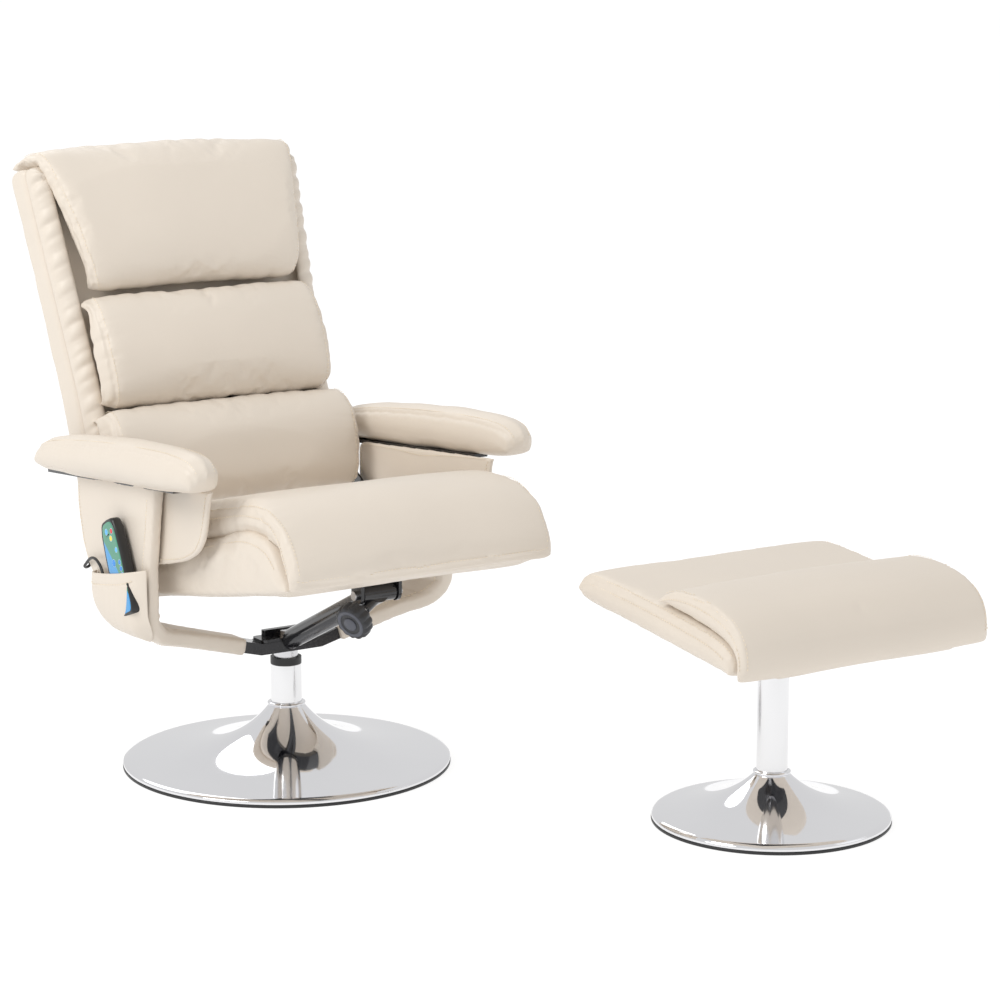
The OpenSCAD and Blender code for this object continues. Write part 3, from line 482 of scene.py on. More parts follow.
def stripPad(outer, inner, half, edge, crown=0.0, columns=40, bulge=0.004):
    # a pad between two curves seen from the side, carried across X: inset round both ends, then closed there
    # p(u, v) = middle(v) + (rim(v) - middle(v)) * inset(u), at x = half(v) * run(u)
    outer, inner = np.asarray(outer, float), np.asarray(inner, float)
    count = len(outer)
    middle = (outer + inner) / 2
    rim = np.vstack([outer, inner[::-1]])
    centre = np.vstack([middle, middle[::-1]])
    thick = np.maximum(np.linalg.norm(rim - centre, axis=1), 0.002)
    half = np.broadcast_to(half, (count,)) if np.ndim(half) else np.full(count, half)
    halves = np.concatenate([half, half[::-1]])
    top = np.concatenate([np.ones(count), np.zeros(count)])
    rings = []
    theta = np.linspace(0, math.pi / 2, 7)
    for side in (-1, 1):
        for t in np.linspace(0, 1, columns // 2 + 1):
            lift = crown * (1 - (t * 0.98)**2)**0.7
            ring = centre + (rim - centre) * (1 + lift * top / thick)[:, None]
            rings.append((side * t, np.column_stack([side * (halves - edge) * t, ring])))
        for a in theta[1:]:
            scale = 1 - np.minimum(edge / thick, 0.92) * (1 - math.cos(a))
            ring = centre + (rim - centre) * scale[:, None]
            rings.append((side * (1 + a / 10), np.column_stack([side * (halves - edge + edge * math.sin(a)), ring])))
        last = 1 - np.minimum(edge / thick, 0.92)
        for f in (0.75, 0.5, 0.25, 0.0):
            ring = centre + (rim - centre) * (last * f)[:, None]
            rings.append((side * (2 - f), np.column_stack([side * (halves + bulge * (1 - f * f)), ring])))
    rings.sort(key=lambda r: r[0])
    grid = np.array([r[1] for r in rings])
    return grid


def seam(piece, path, width, depth, pucker=0.0, pitch=0.012, seed=1):
    # presses a groove along a path, with small puckers that fade out beside it
    co, no = coords(piece), normalsOf(piece)
    away, where = nearest(co, path)
    step = np.linalg.norm(np.diff(path, axis=0), axis=1).mean()
    groove = -depth * np.exp(-(away / width)**2)
    folds = pucker * ripple(where * step, seed, [(pitch, 0.6), (pitch * 2.3, 0.4)]) * np.exp(-away / (width * 3.5))
    setCoords(piece, co + no * (groove + folds)[:, None])


def stitches(name, piece, path, body, spacing=0.0062, length=0.0042, radius=0.00055, lift=0.0002):
    # a row of short thread capsules along a path, each lying on the piece's surface
    run = np.concatenate([[0], np.cumsum(np.linalg.norm(np.diff(path, axis=0), axis=1))])
    at = np.arange(spacing, run[-1] - spacing, spacing)
    points = np.stack([np.interp(at, run, path[:, k]) for k in range(3)], -1)
    ahead = np.stack([np.interp(at + 0.002, run, path[:, k]) for k in range(3)], -1)
    onto, normal = snapped(points, piece)
    along = ahead - points
    along -= normal * (along * normal).sum(1, keepdims=True)
    along /= np.maximum(np.linalg.norm(along, axis=1, keepdims=True), 1e-9)
    across = np.cross(normal, along)
    height = ((points - onto) * normal).sum(1, keepdims=True)
    points = points - normal * height + normal * lift
    t = np.linspace(-1, 1, 5)
    girth = radius * np.sqrt(np.maximum(0.0, 1 - t**4)) + radius * 0.15
    angle = np.linspace(0, 2 * math.pi, 6, endpoint=False)
    ring = (points[:, None, None] + along[:, None, None] * (t * length / 2)[None, :, None, None]
            + girth[None, :, None, None] * (across[:, None, None] * np.cos(angle)[None, None, :, None]
            + normal[:, None, None] * np.sin(angle)[None, None, :, None]))
    n = len(points)
    faces = gridFaces(5, 6)
    every = (faces[None] + (np.arange(n) * 30)[:, None, None]).reshape(-1, 4)
    caps = np.array([[5, 4, 3, 2], [5, 2, 1, 0], [24, 25, 26, 27], [24, 27, 28, 29]])
    caps = (caps[None] + (np.arange(n) * 30)[:, None, None]).reshape(-1, 4)
    made = makeMesh(name, ring.reshape(-1, 3), np.vstack([every, caps]), finishes["thread"])
    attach(made, body)
    return made


def softPiece(piece, body, node, levels=1):
    if levels:
        sub = piece.modifiers.new("smooth", "SUBSURF")
        sub.levels = sub.render_levels = levels
    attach(piece, body)
    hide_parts(node)


leather = finishes["cream_leather"]

backPads = {
    "headPad": {
        "node": "head_pad", "edge": 0.025, "cap": 0.010, "voxel": 0.0050, "crown": 0.006,
        "front": [(-0.084, 0.347), (-0.100, 0.341), (-0.119, 0.347), (-0.131, 0.370), (-0.136, 0.415), (-0.132, 0.470),
                  (-0.122, 0.530), (-0.110, 0.572), (-0.094, 0.598), (-0.070, 0.608), (-0.035, 0.607), (-0.010, 0.598),
                  (-0.002, 0.588)],
        "rear": [(-0.082, 0.354), (-0.081, 0.450), (-0.081, 0.560), (-0.079, 0.584), (-0.060, 0.5868), (-0.030, 0.5868),
                 (-0.006, 0.5868)],
        "half": [(0, 0.203), (0.55, 0.244), (0.8, 0.262), (1, 0.268)],
    },
    "middlePad": {
        "node": "middle_pad", "edge": 0.024, "cap": 0.010, "voxel": 0.0048, "crown": 0.006,
        "front": [(-0.086, 0.137), (-0.108, 0.130), (-0.136, 0.136), (-0.153, 0.160), (-0.158, 0.205), (-0.154, 0.255),
                  (-0.143, 0.300), (-0.124, 0.328), (-0.102, 0.337), (-0.086, 0.334)],
        "rear": [(-0.083, 0.144), (-0.083, 0.240), (-0.083, 0.328)],
        "half": [(0, 0.221), (0.5, 0.226), (1, 0.224)],
    },
    "lowerPad": {
        "node": "lower_pad", "edge": 0.022, "cap": 0.008, "voxel": 0.0050, "crown": 0.005,
        "front": [(-0.090, -0.050), (-0.115, -0.054), (-0.142, -0.047), (-0.160, -0.018), (-0.170, 0.025),
                  (-0.174, 0.062), (-0.166, 0.098), (-0.146, 0.121), (-0.115, 0.128), (-0.088, 0.125)],
        "rear": [(-0.083, -0.040), (-0.083, 0.040), (-0.083, 0.118)],
        "half": [(0, 0.238), (0.5, 0.243), (1, 0.240)],
    },
}


def halfAt(stops, count):
    at, value = zip(*stops)
    return np.interp(np.linspace(0, 1, count), at, value)


def backPad(name):
    look = backPads[name]
    count = 44
    front, rear = curveThrough(look["front"], count), curveThrough(look["rear"], count)
    half = halfAt(look["half"], count)
    grid = stripPad(front, rear, half, look["edge"], look["crown"])
    piece = surface(name, placed(grid, "back"), leather)
    inflated(piece, look["voxel"], look["cap"])
    # edge seams: a groove down each side of the face, with puckers, and a row of stitches beside it
    for side in (-1, 1):
        line = np.column_stack([side * (half - look["edge"] * 0.30), front])[3:-3]
        path = curveThrough(placed(line, "back"), 160)
        onto = laidOn(path, piece, 6, 200)
        seam(piece, onto, 0.0036, 0.0038, 0.0020, 0.015, seed=len(name) + side)
        beside = np.column_stack([side * (half - look["edge"] * 0.30 - 0.009), front])[4:-4]
        label = "L" if side < 0 else "R"
        stitches(f"{name}Stitch{label}", piece, curveThrough(placed(beside, "back"), 200), "backrest")
    # slow creases that run in from the sides, strongest near the pad's ends
    co, no = coords(piece), normalsOf(piece)
    a = leans["back"]
    up = (co - origins["back"]) @ [0, math.sin(a), math.cos(a)]
    low, high = up.min(), up.max()
    t = (up - low) / (high - low)
    out = np.abs(co[:, 0]) / half.max()
    pull = ripple(up + 0.10 * np.abs(co[:, 0]), 7 + len(name), [(0.034, 0.5), (0.055, 0.5)])
    pull = pull * np.clip((out - 0.72) / 0.28, 0, 1)**2
    gather = ripple(co[:, 0] + 0.15 * up, 17 + len(name), [(0.038, 0.5), (0.07, 0.5)])
    gather = gather * np.exp(-np.minimum(t, 1 - t) / 0.07)
    setCoords(piece, co - no * (0.0036 * pull + 0.0034 * gather + 0.0010 * softNoise(co, 3, 0.16))[:, None])
    softPiece(piece, "backrest", look["node"])
    return piece


for padName in backPads:
    backPad(padName)
print("back pads ready")

shellLook = {"lowHalf": 0.250, "topHalf": 0.274, "widenFrom": 0.175, "height": 0.586, "depth": 0.066, "edge": 0.014}


def backHalf(z):
    s = shellLook
    share = (z - s["widenFrom"]) / (s["height"] - s["widenFrom"])
    return s["lowHalf"] + (s["topHalf"] - s["lowHalf"]) * np.maximum(0, share)


def backShell():
    # the leather-covered rear shell: a shallow closed tray with round edges and a slightly full rear face
    s = shellLook
    count = 60
    h, d = s["height"], s["depth"]
    rear = curveThrough([(-0.034, 0.001), (-0.012, 0.0015), (-0.001, 0.012), (0.0, 0.10), (-0.001, 0.30),
                         (-0.005, 0.50), (-0.007, h - 0.014), (-0.017, h - 0.002), (-0.036, h - 0.001)], count)
    front = curveThrough([(-0.040, 0.001), (-d + 0.004, 0.004), (-d, 0.03), (-d, 0.30), (-d, h - 0.03),
                          (-d + 0.004, h - 0.004), (-0.040, h - 0.001)], count)
    z = (rear[:, 1] + front[:, 1]) / 2
    grid = stripPad(rear, front, backHalf(z) - 0.001, s["edge"], 0.0, columns=48, bulge=0.0)
    piece = surface("backShell", placed(grid, "back"), leather)
    inflated(piece, 0.0055, 0)
    for side in (-1, 1):
        heights = np.linspace(0.012, h - 0.012, 60)
        corner = np.column_stack([side * (backHalf(heights) - 0.004), np.full(60, -0.004), heights])
        path = curveThrough(placed(corner, "back"), 260)
        seam(piece, path, 0.0028, 0.0016, 0.0007, 0.02, seed=5 + side)
        inner = np.column_stack([side * (backHalf(heights) - 0.014), np.full(60, 0.0), heights])
        stitches(f"shellStitch{'L' if side < 0 else 'R'}", piece, curveThrough(placed(inner, "back"), 260), "backrest")
    across = np.linspace(-0.235, 0.235, 60)
    for label, height in (("Low", 0.016), ("High", h - 0.016)):
        line = np.column_stack([across, np.zeros(60), np.full(60, height)])
        stitches(f"shellStitch{label}", piece, curveThrough(placed(line, "back"), 200), "backrest")
    co, no = coords(piece), normalsOf(piece)
    a = leans["back"]
    up = (co - origins["back"]) @ [0, math.sin(a), math.cos(a)]
    out = np.abs(co[:, 0]) / 0.26
    sag = ripple(up + 0.25 * co[:, 0], 23, [(0.05, 0.5), (0.09, 0.5)]) * np.clip((out - 0.8) / 0.2, 0, 1)**2
    setCoords(piece, co - no * (0.0012 * sag + 0.0012 * softNoise(co, 9, 0.3))[:, None])
    softPiece(piece, "backrest", "back_shell", levels=1)


def backGusset():
    # a soft band round the shell's front edge: arc-shaped section carried round the outline, gathered into folds
    s = shellLook
    h = s["height"]
    heights = np.linspace(0.01, h - 0.004, 70)
    right = np.column_stack([backHalf(heights) - 0.005, heights])
    left = right[::-1] * [-1, 1]
    outline = roundLoop(np.vstack([right[::10], right[-1:], left[::10], left[-1:]]), 720, 0.02, 6)
    centre = outline.mean(0)
    run = np.concatenate([[0], np.cumsum(np.linalg.norm(np.diff(outline, axis=0), axis=1))])
    tangent = np.roll(outline, -1, 0) - np.roll(outline, 1, 0)
    tangent /= np.linalg.norm(tangent, axis=1, keepdims=True)
    inward = np.stack([-tangent[:, 1], tangent[:, 0]], -1)
    inward *= np.sign(((centre - outline) * inward).sum(1))[:, None]
    section = np.array([(0.000, -0.0645), (-0.002, -0.073), (0.001, -0.083), (0.009, -0.091), (0.021, -0.096),
                        (0.033, -0.094), (0.036, -0.085), (0.022, -0.078), (0.010, -0.070), (0.004, -0.0645)])
    # folds run in at a slant: their place shifts with the distance across the section
    fold = ripple(run[:, None] + np.arange(10)[None] * 0.0045, 31, [(0.026, 0.55), (0.043, 0.45)])
    weight = np.array([0.0, 0.6, 1.0, 1.0, 0.8, 0.3, 0, 0, 0, 0])[None]
    depth = section[None, :, 1] + 0.0078 * (fold - 0.4) * weight
    inset = section[None, :, 0] + 0.0032 * fold * weight
    flat = outline[:, None, :] + inward[:, None, :] * inset[:, :, None]
    grid = np.stack([flat[..., 0], depth, flat[..., 1]], -1)
    piece = surface("backGusset", placed(grid, "back"), leather, closedRows=True)
    softPiece(piece, "backrest", "back_gusset", levels=1)


backShell()
backGusset()
print("back shell ready")

seatLook = {
    "half": 0.2465, "edge": 0.012, "voxel": 0.0062, "cap": 0.010,
    "top": [(0.110, 0.110), (0.094, 0.126), (0.040, 0.134), (-0.060, 0.139), (-0.160, 0.143), (-0.260, 0.147),
            (-0.335, 0.147), (-0.390, 0.138), (-0.432, 0.116), (-0.462, 0.083), (-0.476, 0.045), (-0.476, 0.016),
            (-0.466, -0.001)],
    "under": [(0.110, 0.090), (-0.060, 0.092), (-0.200, 0.099), (-0.290, 0.106), (-0.350, 0.104), (-0.400, 0.088),
              (-0.424, 0.060), (-0.442, 0.024), (-0.455, 0.000)],
    "baseTop": [(0.104, 0.064), (0.098, 0.082), (-0.060, 0.0885), (-0.200, 0.0965), (-0.290, 0.1035), (-0.348, 0.1015),
                (-0.397, 0.085), (-0.420, 0.057), (-0.438, 0.022), (-0.446, 0.006)],
    "baseUnder": [(0.104, 0.010), (0.094, 0.002), (-0.100, 0.001), (-0.300, 0.001), (-0.420, 0.002), (-0.438, 0.003)],
}


def seatPad():
    s = seatLook
    count = 64
    top, under = curveThrough(s["top"], count), curveThrough(s["under"], count)
    piece = surface("seatPad", placed(stripPad(top, under, s["half"], s["edge"], 0.007, 46), "seat"), leather)
    inflated(piece, s["voxel"], s["cap"])
    for side in (-1, 1):
        label = "L" if side < 0 else "R"
        for line in (top, under):
            path = np.column_stack([np.full(count, side * (s["half"] - 0.0025)), line])[3:-2]
            onto = laidOn(curveThrough(placed(path, "seat"), 220), piece, 8, 260)
            seam(piece, onto, 0.0028, 0.0018, 0.0012, 0.014, seed=41 + side)
        beside = np.column_stack([np.full(count, side * (s["half"] - 0.014)), top])[4:-3]
        stitches(f"seatStitch{label}", piece, curveThrough(placed(beside, "seat"), 260), "seat")
        low = np.column_stack([np.full(count, side * (s["half"] + 0.002)), lerp(top, under, 0.30)])[4:-3]
        stitches(f"seatSideStitch{label}", piece, curveThrough(placed(low, "seat"), 260), "seat")
    front = np.column_stack([np.linspace(-0.240, 0.240, 60), np.full(60, -0.4765), np.full(60, 0.018)])
    onto = laidOn(curveThrough(placed(front, "seat"), 200), piece, 8, 220)
    seam(piece, onto, 0.0034, 0.0034, 0.0010, 0.02, seed=47)
    beside = front + [0, 0, 0.008]
    stitches("seatFrontStitch", piece, curveThrough(placed(beside, "seat"), 200), "seat")
    co, no = coords(piece), normalsOf(piece)
    out = np.abs(co[:, 0]) / s["half"]
    drawn = ripple(co[:, 1] + 0.12 * np.abs(co[:, 0]), 51, [(0.030, 0.5), (0.050, 0.5)])
    drawn = drawn * np.clip((out - 0.80) / 0.20, 0, 1)**1.3
    setCoords(piece, co - no * (0.0034 * drawn + 0.0013 * softNoise(co, 13, 0.22))[:, None])
    softPiece(piece, "seat", "seat_pad")


def seatBase():
    s = seatLook
    count = 56
    top, under = curveThrough(s["baseTop"], count), curveThrough(s["baseUnder"], count)
    piece = surface("seatBase", placed(stripPad(top, under, 0.2450, 0.010, 0.0, 40, 0.003), "seat"), leather)
    inflated(piece, 0.0062, 0.004)
    for side in (-1, 1):
        label = "L" if side < 0 else "R"
        line = np.column_stack([np.full(count, side * 0.247), lerp(under, top, 0.14)])[4:-4]
        onto = laidOn(curveThrough(placed(line, "seat"), 200), piece, 8, 240)
        seam(piece, onto, 0.0026, 0.0014, 0.0014, 0.022, seed=61 + side)
        upper = np.column_stack([np.full(count, side * 0.247), lerp(under, top, 0.88)])[4:-4]
        stitches(f"baseStitch{label}", piece, curveThrough(placed(upper, "seat"), 240), "seat")
    co, no = coords(piece), normalsOf(piece)
    side = np.clip((np.abs(co[:, 0]) - 0.235) / 0.01, 0, 1)
    slack = ripple(co[:, 1] * 0.9 + co[:, 2] * 0.5, 67, [(0.045, 0.5), (0.08, 0.5)])
    setCoords(piece, co - no * (0.0022 * slack * side + 0.001 * softNoise(co, 19, 0.2))[:, None])
    softPiece(piece, "seat", "seat_cushion")


seatPad()
seatBase()
print("seat ready")

stoolLook = {
    "top": [(0.2075, 0.022), (0.201, 0.036), (0.175, 0.045), (0.110, 0.050), (0.020, 0.0525), (-0.080, 0.052),
            (-0.160, 0.048), (-0.200, 0.036), (-0.215, 0.018), (-0.212, 0.003)],
    "under": [(0.204, 0.010), (0.190, 0.0015), (0.080, 0.001), (-0.080, 0.001), (-0.190, 0.001), (-0.206, 0.002)],
    "padTop": [(-0.004, 0.059), (-0.018, 0.072), (-0.045, 0.086), (-0.085, 0.094), (-0.130, 0.096), (-0.175, 0.091),
               (-0.210, 0.077), (-0.231, 0.053), (-0.238, 0.026), (-0.235, 0.004), (-0.228, -0.003)],
    "padUnder": [(-0.007, 0.0555), (-0.050, 0.0575), (-0.105, 0.0580), (-0.165, 0.0545), (-0.202, 0.043),
                 (-0.219, 0.024), (-0.2215, 0.008), (-0.222, 0.000)],
}


def stoolPiece(name, topKey, underKey, half, edge, crown, node, cap):
    s = stoolLook
    count = 54
    top, under = curveThrough(s[topKey], count), curveThrough(s[underKey], count)
    grid = stripPad(top, under, half, edge, crown, 44)
    piece = surface(name, placed(grid, "cushion"), leather)
    inflated(piece, 0.0056, cap)
    centre = origins["cushion"][0]
    for side in (-1, 1):
        label = "L" if side < 0 else "R"
        line = np.column_stack([np.full(count, side * (half - 0.002)), top])[3:-3]
        onto = laidOn(curveThrough(placed(line, "cushion"), 200), piece, 8, 240)
        seam(piece, onto, 0.0028, 0.0018, 0.0010, 0.016, seed=71 + side)
        for k, inset in enumerate((0.012, -0.001)):
            level = lerp(top, under, 0.0 if k == 0 else 0.22)
            line = np.column_stack([np.full(count, side * (half - inset)), level])[4:-4]
            stitches(f"{name}Stitch{label}{k}", piece, curveThrough(placed(line, "cushion"), 240), "footstool_top")
    co, no = coords(piece), normalsOf(piece)
    out = np.abs(co[:, 0] - centre) / half
    drawn = ripple(co[:, 1], 77, [(0.028, 0.5), (0.05, 0.5)]) * np.clip((out - 0.9) / 0.1, 0, 1)
    setCoords(piece, co - no * (0.0014 * drawn + 0.0012 * softNoise(co, 29, 0.2))[:, None])
    softPiece(piece, "footstool_top", node)


stoolPiece("stoolCushion", "top", "under", 0.2515, 0.012, 0.005, "stool_cushion", 0.005)
stoolPiece("stoolPad", "padTop", "padUnder", 0.2505, 0.010, 0.005, "stool_pad", 0.006)
print("footstool cushion ready")

armLook = {
    "inner": 0.265, "width": 0.072,
    "top": [(0.010, 0.010), (-0.003, 0.026), (0.002, 0.043), (0.026, 0.057), (0.080, 0.0655), (0.160, 0.0690),
            (0.280, 0.0700), (0.400, 0.0665), (0.500, 0.0600), (0.556, 0.0520), (0.590, 0.0380), (0.604, 0.0200)],
    "under": [(0.018, 0.004), (0.060, 0.000), (0.240, 0.000), (0.440, 0.000), (0.560, 0.001), (0.592, 0.008)],
    "half": [(0, 0.022), (0.06, 0.030), (0.14, 0.0345), (0.3, 0.0358), (0.8, 0.0358), (0.92, 0.033), (1, 0.024)],
}


def armPad(side):
    s = armLook
    count = 70
    label = "Left" if side < 0 else "Right"
    top, under = curveThrough(s["top"], count), curveThrough(s["under"], count)
    half = halfAt(s["half"], count)
    grid = stripPad(top, under, half, 0.024, 0.004, 20, 0.002)
    grid[..., 0] += side * (s["inner"] + s["width"] / 2)
    piece = surface(f"armPad{label}", placed(grid, "arm"), leather)
    inflated(piece, 0.0045, 0.004)
    middle = side * (s["inner"] + s["width"] / 2)
    for k, (edgeSide, share) in enumerate(((side, 0.16), (-side, 0.16))):
        line = np.column_stack([middle + edgeSide * (half - 0.006), lerp(top, under, share)])[2:-2]
        onto = laidOn(curveThrough(placed(line, "arm"), 260), piece, 7, 300)
        seam(piece, onto, 0.0030, 0.0028, 0.0014, 0.014, seed=81 + k)
        line = np.column_stack([middle + edgeSide * (half - 0.013), lerp(top, under, 0.06)])[3:-3]
        stitches(f"armStitch{label}{k}", piece, curveThrough(placed(line, "arm"), 300), "swivel_frame")
    co, no = coords(piece), normalsOf(piece)
    setCoords(piece, co - no * (0.0010 * softNoise(co, 33, 0.12))[:, None])
    softPiece(piece, "swivel_frame", f"arm_pad_{label.lower()}")


def plate(name, outline, x0, x1, edge, side, full=0.0):
    # a flat upholstered board: its outline carried across its thickness, both faces closed to the middle
    count = len(outline)
    centre = outline.mean(0)
    tangent = np.roll(outline, -1, 0) - np.roll(outline, 1, 0)
    tangent /= np.linalg.norm(tangent, axis=1, keepdims=True)
    inward = np.stack([-tangent[:, 1], tangent[:, 0]], -1)
    inward *= np.sign(((centre - outline) * inward).sum(1).mean())
    rings = []
    for direction, base in ((-1, x0), (1, x1)):
        block = []
        for f in (0.0, 0.25, 0.5, 0.7, 0.85, 0.94):
            block.append((base + direction * full * (1 - f**2), centre + (outline + inward * edge - centre) * f))
        for a in np.linspace(math.pi / 2, 0, 5):
            block.append((base - direction * edge * (1 - math.sin(a)), outline + inward * edge * (1 - math.cos(a))))
        rings.extend(block if direction < 0 else block[::-1])
    grid = np.array([np.column_stack([np.full(count, side * x), ring]) for x, ring in rings])
    return surface(name, grid, leather)


frameLook = {
    "half": 0.289, "hub": 0.213, "flat": 0.058, "rise": 0.26, "bend": 0.052, "sleeve": 0.028, "start": 0.094,
}


def frameLine(top):
    # middle of the arm frame's right half in X and Z: flat, rising, round the bend, up
    f = frameLook
    start = math.atan(f["rise"]) - math.pi / 2
    bx = f["half"] - f["bend"]
    bz = f["hub"] + f["rise"] * (bx + f["bend"] * math.cos(start) - f["flat"]) - f["bend"] * math.sin(start)
    arc = [(bx + f["bend"] * math.cos(a), bz + f["bend"] * math.sin(a)) for a in np.linspace(start, 0, 14)]
    return np.array([(0, f["hub"]), (f["flat"], f["hub"])] + arc + [(f["half"], top)])


def armUnder(y):
    return origins["arm"][2] - (y - origins["arm"][1]) * math.tan(leans["arm"])


def sleeve(side):
    # rounded section carried along the frame's line; its front and rear edges follow the side outline
    f = frameLook
    label = "Left" if side < 0 else "Right"
    line = frameLine(0.552)
    run = np.concatenate([[0], np.cumsum(np.linalg.norm(np.diff(line, axis=0), axis=1))])
    s = np.linspace(np.interp(f["start"], line[:, 0], run), run[-1], 150)
    x, z = np.interp(s, run, line[:, 0]), np.interp(s, run, line[:, 1])
    dx, dz = np.gradient(x), np.gradient(z)
    length = np.hypot(dx, dz)
    nx, nz = dz / length, -dx / length
    # distance down from the arm, then the front and rear edges there
    down = [-0.50, -0.40, -0.345, -0.31, -0.265, -0.222, -0.159, -0.120, -0.064, 0]
    front = np.interp(s - s[-1], down, [-0.031, -0.031, -0.036, -0.048, -0.067, -0.0735, -0.074, -0.083, -0.093,
                                        -0.103])
    down = [-0.50, -0.40, -0.36, -0.30, -0.265, -0.240, -0.212, -0.190, -0.150, -0.094, 0]
    rear = np.interp(s - s[-1], down, [0.031, 0.033, 0.038, 0.062, 0.092, 0.106, 0.127, 0.152, 0.178, 0.192, 0.192])
    kernel = np.ones(11) / 11
    front = np.convolve(np.pad(front, 5, "edge"), kernel, "valid")
    rear = np.convolve(np.pad(rear, 5, "edge"), kernel, "valid")
    half = f["sleeve"] / 2
    angle = np.linspace(0, 2 * math.pi, 64, endpoint=False)
    cx = np.sign(np.cos(angle)) * np.abs(np.cos(angle))**0.42
    cy = np.sign(np.sin(angle)) * np.abs(np.sin(angle))**0.16
    offset = half * cx
    y = (front + rear)[:, None] / 2 + (rear - front)[:, None] / 2 * cy[None]
    gx = x[:, None] + nx[:, None] * offset[None]
    gz = z[:, None] + nz[:, None] * offset[None]
    limit = armUnder(y) - 0.0006
    gz = np.minimum(gz, limit)
    # gathers on the inside of the bend
    inside = np.clip(-cx, 0, 1)[None] * np.exp(-((s - s[-1] + 0.255) / 0.075)**2)[:, None]
    fold = ripple(s[:, None] + 0.16 * y, 91, [(0.016, 0.55), (0.027, 0.45)])
    gx = gx - nx[:, None] * 0.0062 * inside * fold
    gz = gz - nz[:, None] * 0.0062 * inside * fold
    grid = np.stack([side * gx, y, gz], -1)
    first, last = grid[:1].mean(1, keepdims=True), grid[-1:].mean(1, keepdims=True)
    ends = [first + (grid[:1] - first) * k for k in (0.0, 0.5, 0.9)]
    tops = [last + (grid[-1:] - last) * k for k in (0.9, 0.5, 0.0)]
    piece = surface(f"sleeve{label}", np.vstack(ends + [grid] + tops), leather)
    inflated(piece, 0.0048, 0)
    for k, (level, share) in enumerate(((half, front), (-half, front), (half, rear))):
        inset = 0.004 if share is front else -0.004
        height = np.minimum(z + nz * level, armUnder(share) - 0.004)
        path = np.column_stack([side * (x + nx * level), share + inset, height])
        onto = laidOn(curveThrough(path[6:-10:3], 320), piece, 8, 340)
        seam(piece, onto, 0.0026, 0.0015, 0.0009, 0.013, seed=95 + k)
        beside = path + [0, 3 * inset, 0]
        stitches(f"sleeveStitch{label}{k}", piece, curveThrough(beside[6:-10:3], 320), "swivel_frame")
    co, no = coords(piece), normalsOf(piece)
    setCoords(piece, co - no * (0.0009 * softNoise(co, 39, 0.14))[:, None])
    softPiece(piece, "swivel_frame", f"side_sleeve_{label.lower()}")


def armPanel(side):
    label = "Left" if side < 0 else "Right"
    corners = [(-0.251, armUnder(-0.251) - 0.001), (-0.244, 0.543), (-0.238, 0.518), (-0.232, 0.492), (-0.222, 0.464),
               (-0.200, 0.439), (-0.158, 0.419), (-0.103, 0.4045), (-0.033, 0.3905), (0.060, 0.3805), (0.120, 0.378),
               (0.168, 0.383), (0.190, 0.403), (0.196, 0.440), (0.1975, armUnder(0.1975) - 0.001)]
    outline = roundLoop(corners, 240, 0.022, 8)
    piece = plate(f"armPanel{label}", outline, 0.2648, 0.2742, 0.004, side, 0.0)
    inflated(piece, 0.0036, 0)
    away = outline - outline.mean(0)
    shrunk = outline - 0.011 * away / np.linalg.norm(away, axis=1, keepdims=True)
    for k, x in enumerate((0.2648, 0.2742)):
        path = np.column_stack([np.full(240, side * x), shrunk])
        stitches(f"panelStitch{label}{k}", piece, path, "swivel_frame")
    co, no = coords(piece), normalsOf(piece)
    setCoords(piece, co - no * (0.0004 * (1 + softNoise(co, 43, 0.1)))[:, None])
    softPiece(piece, "swivel_frame", f"arm_panel_{label.lower()}", levels=0)


for armSide in (-1, 1):
    armPad(armSide)
    sleeve(armSide)
    armPanel(armSide)
print("arms ready")

pocketLook = {
    "ends": (-0.0795, 0.1115), "rim": (0.3935, 0.3600), "wall": 0.003,
    "foot": [(-0.080, 0.302), (-0.072, 0.282), (-0.052, 0.2615), (0.030, 0.2615), (0.068, 0.274), (0.092, 0.294),
             (0.104, 0.317), (0.112, 0.344)],
}


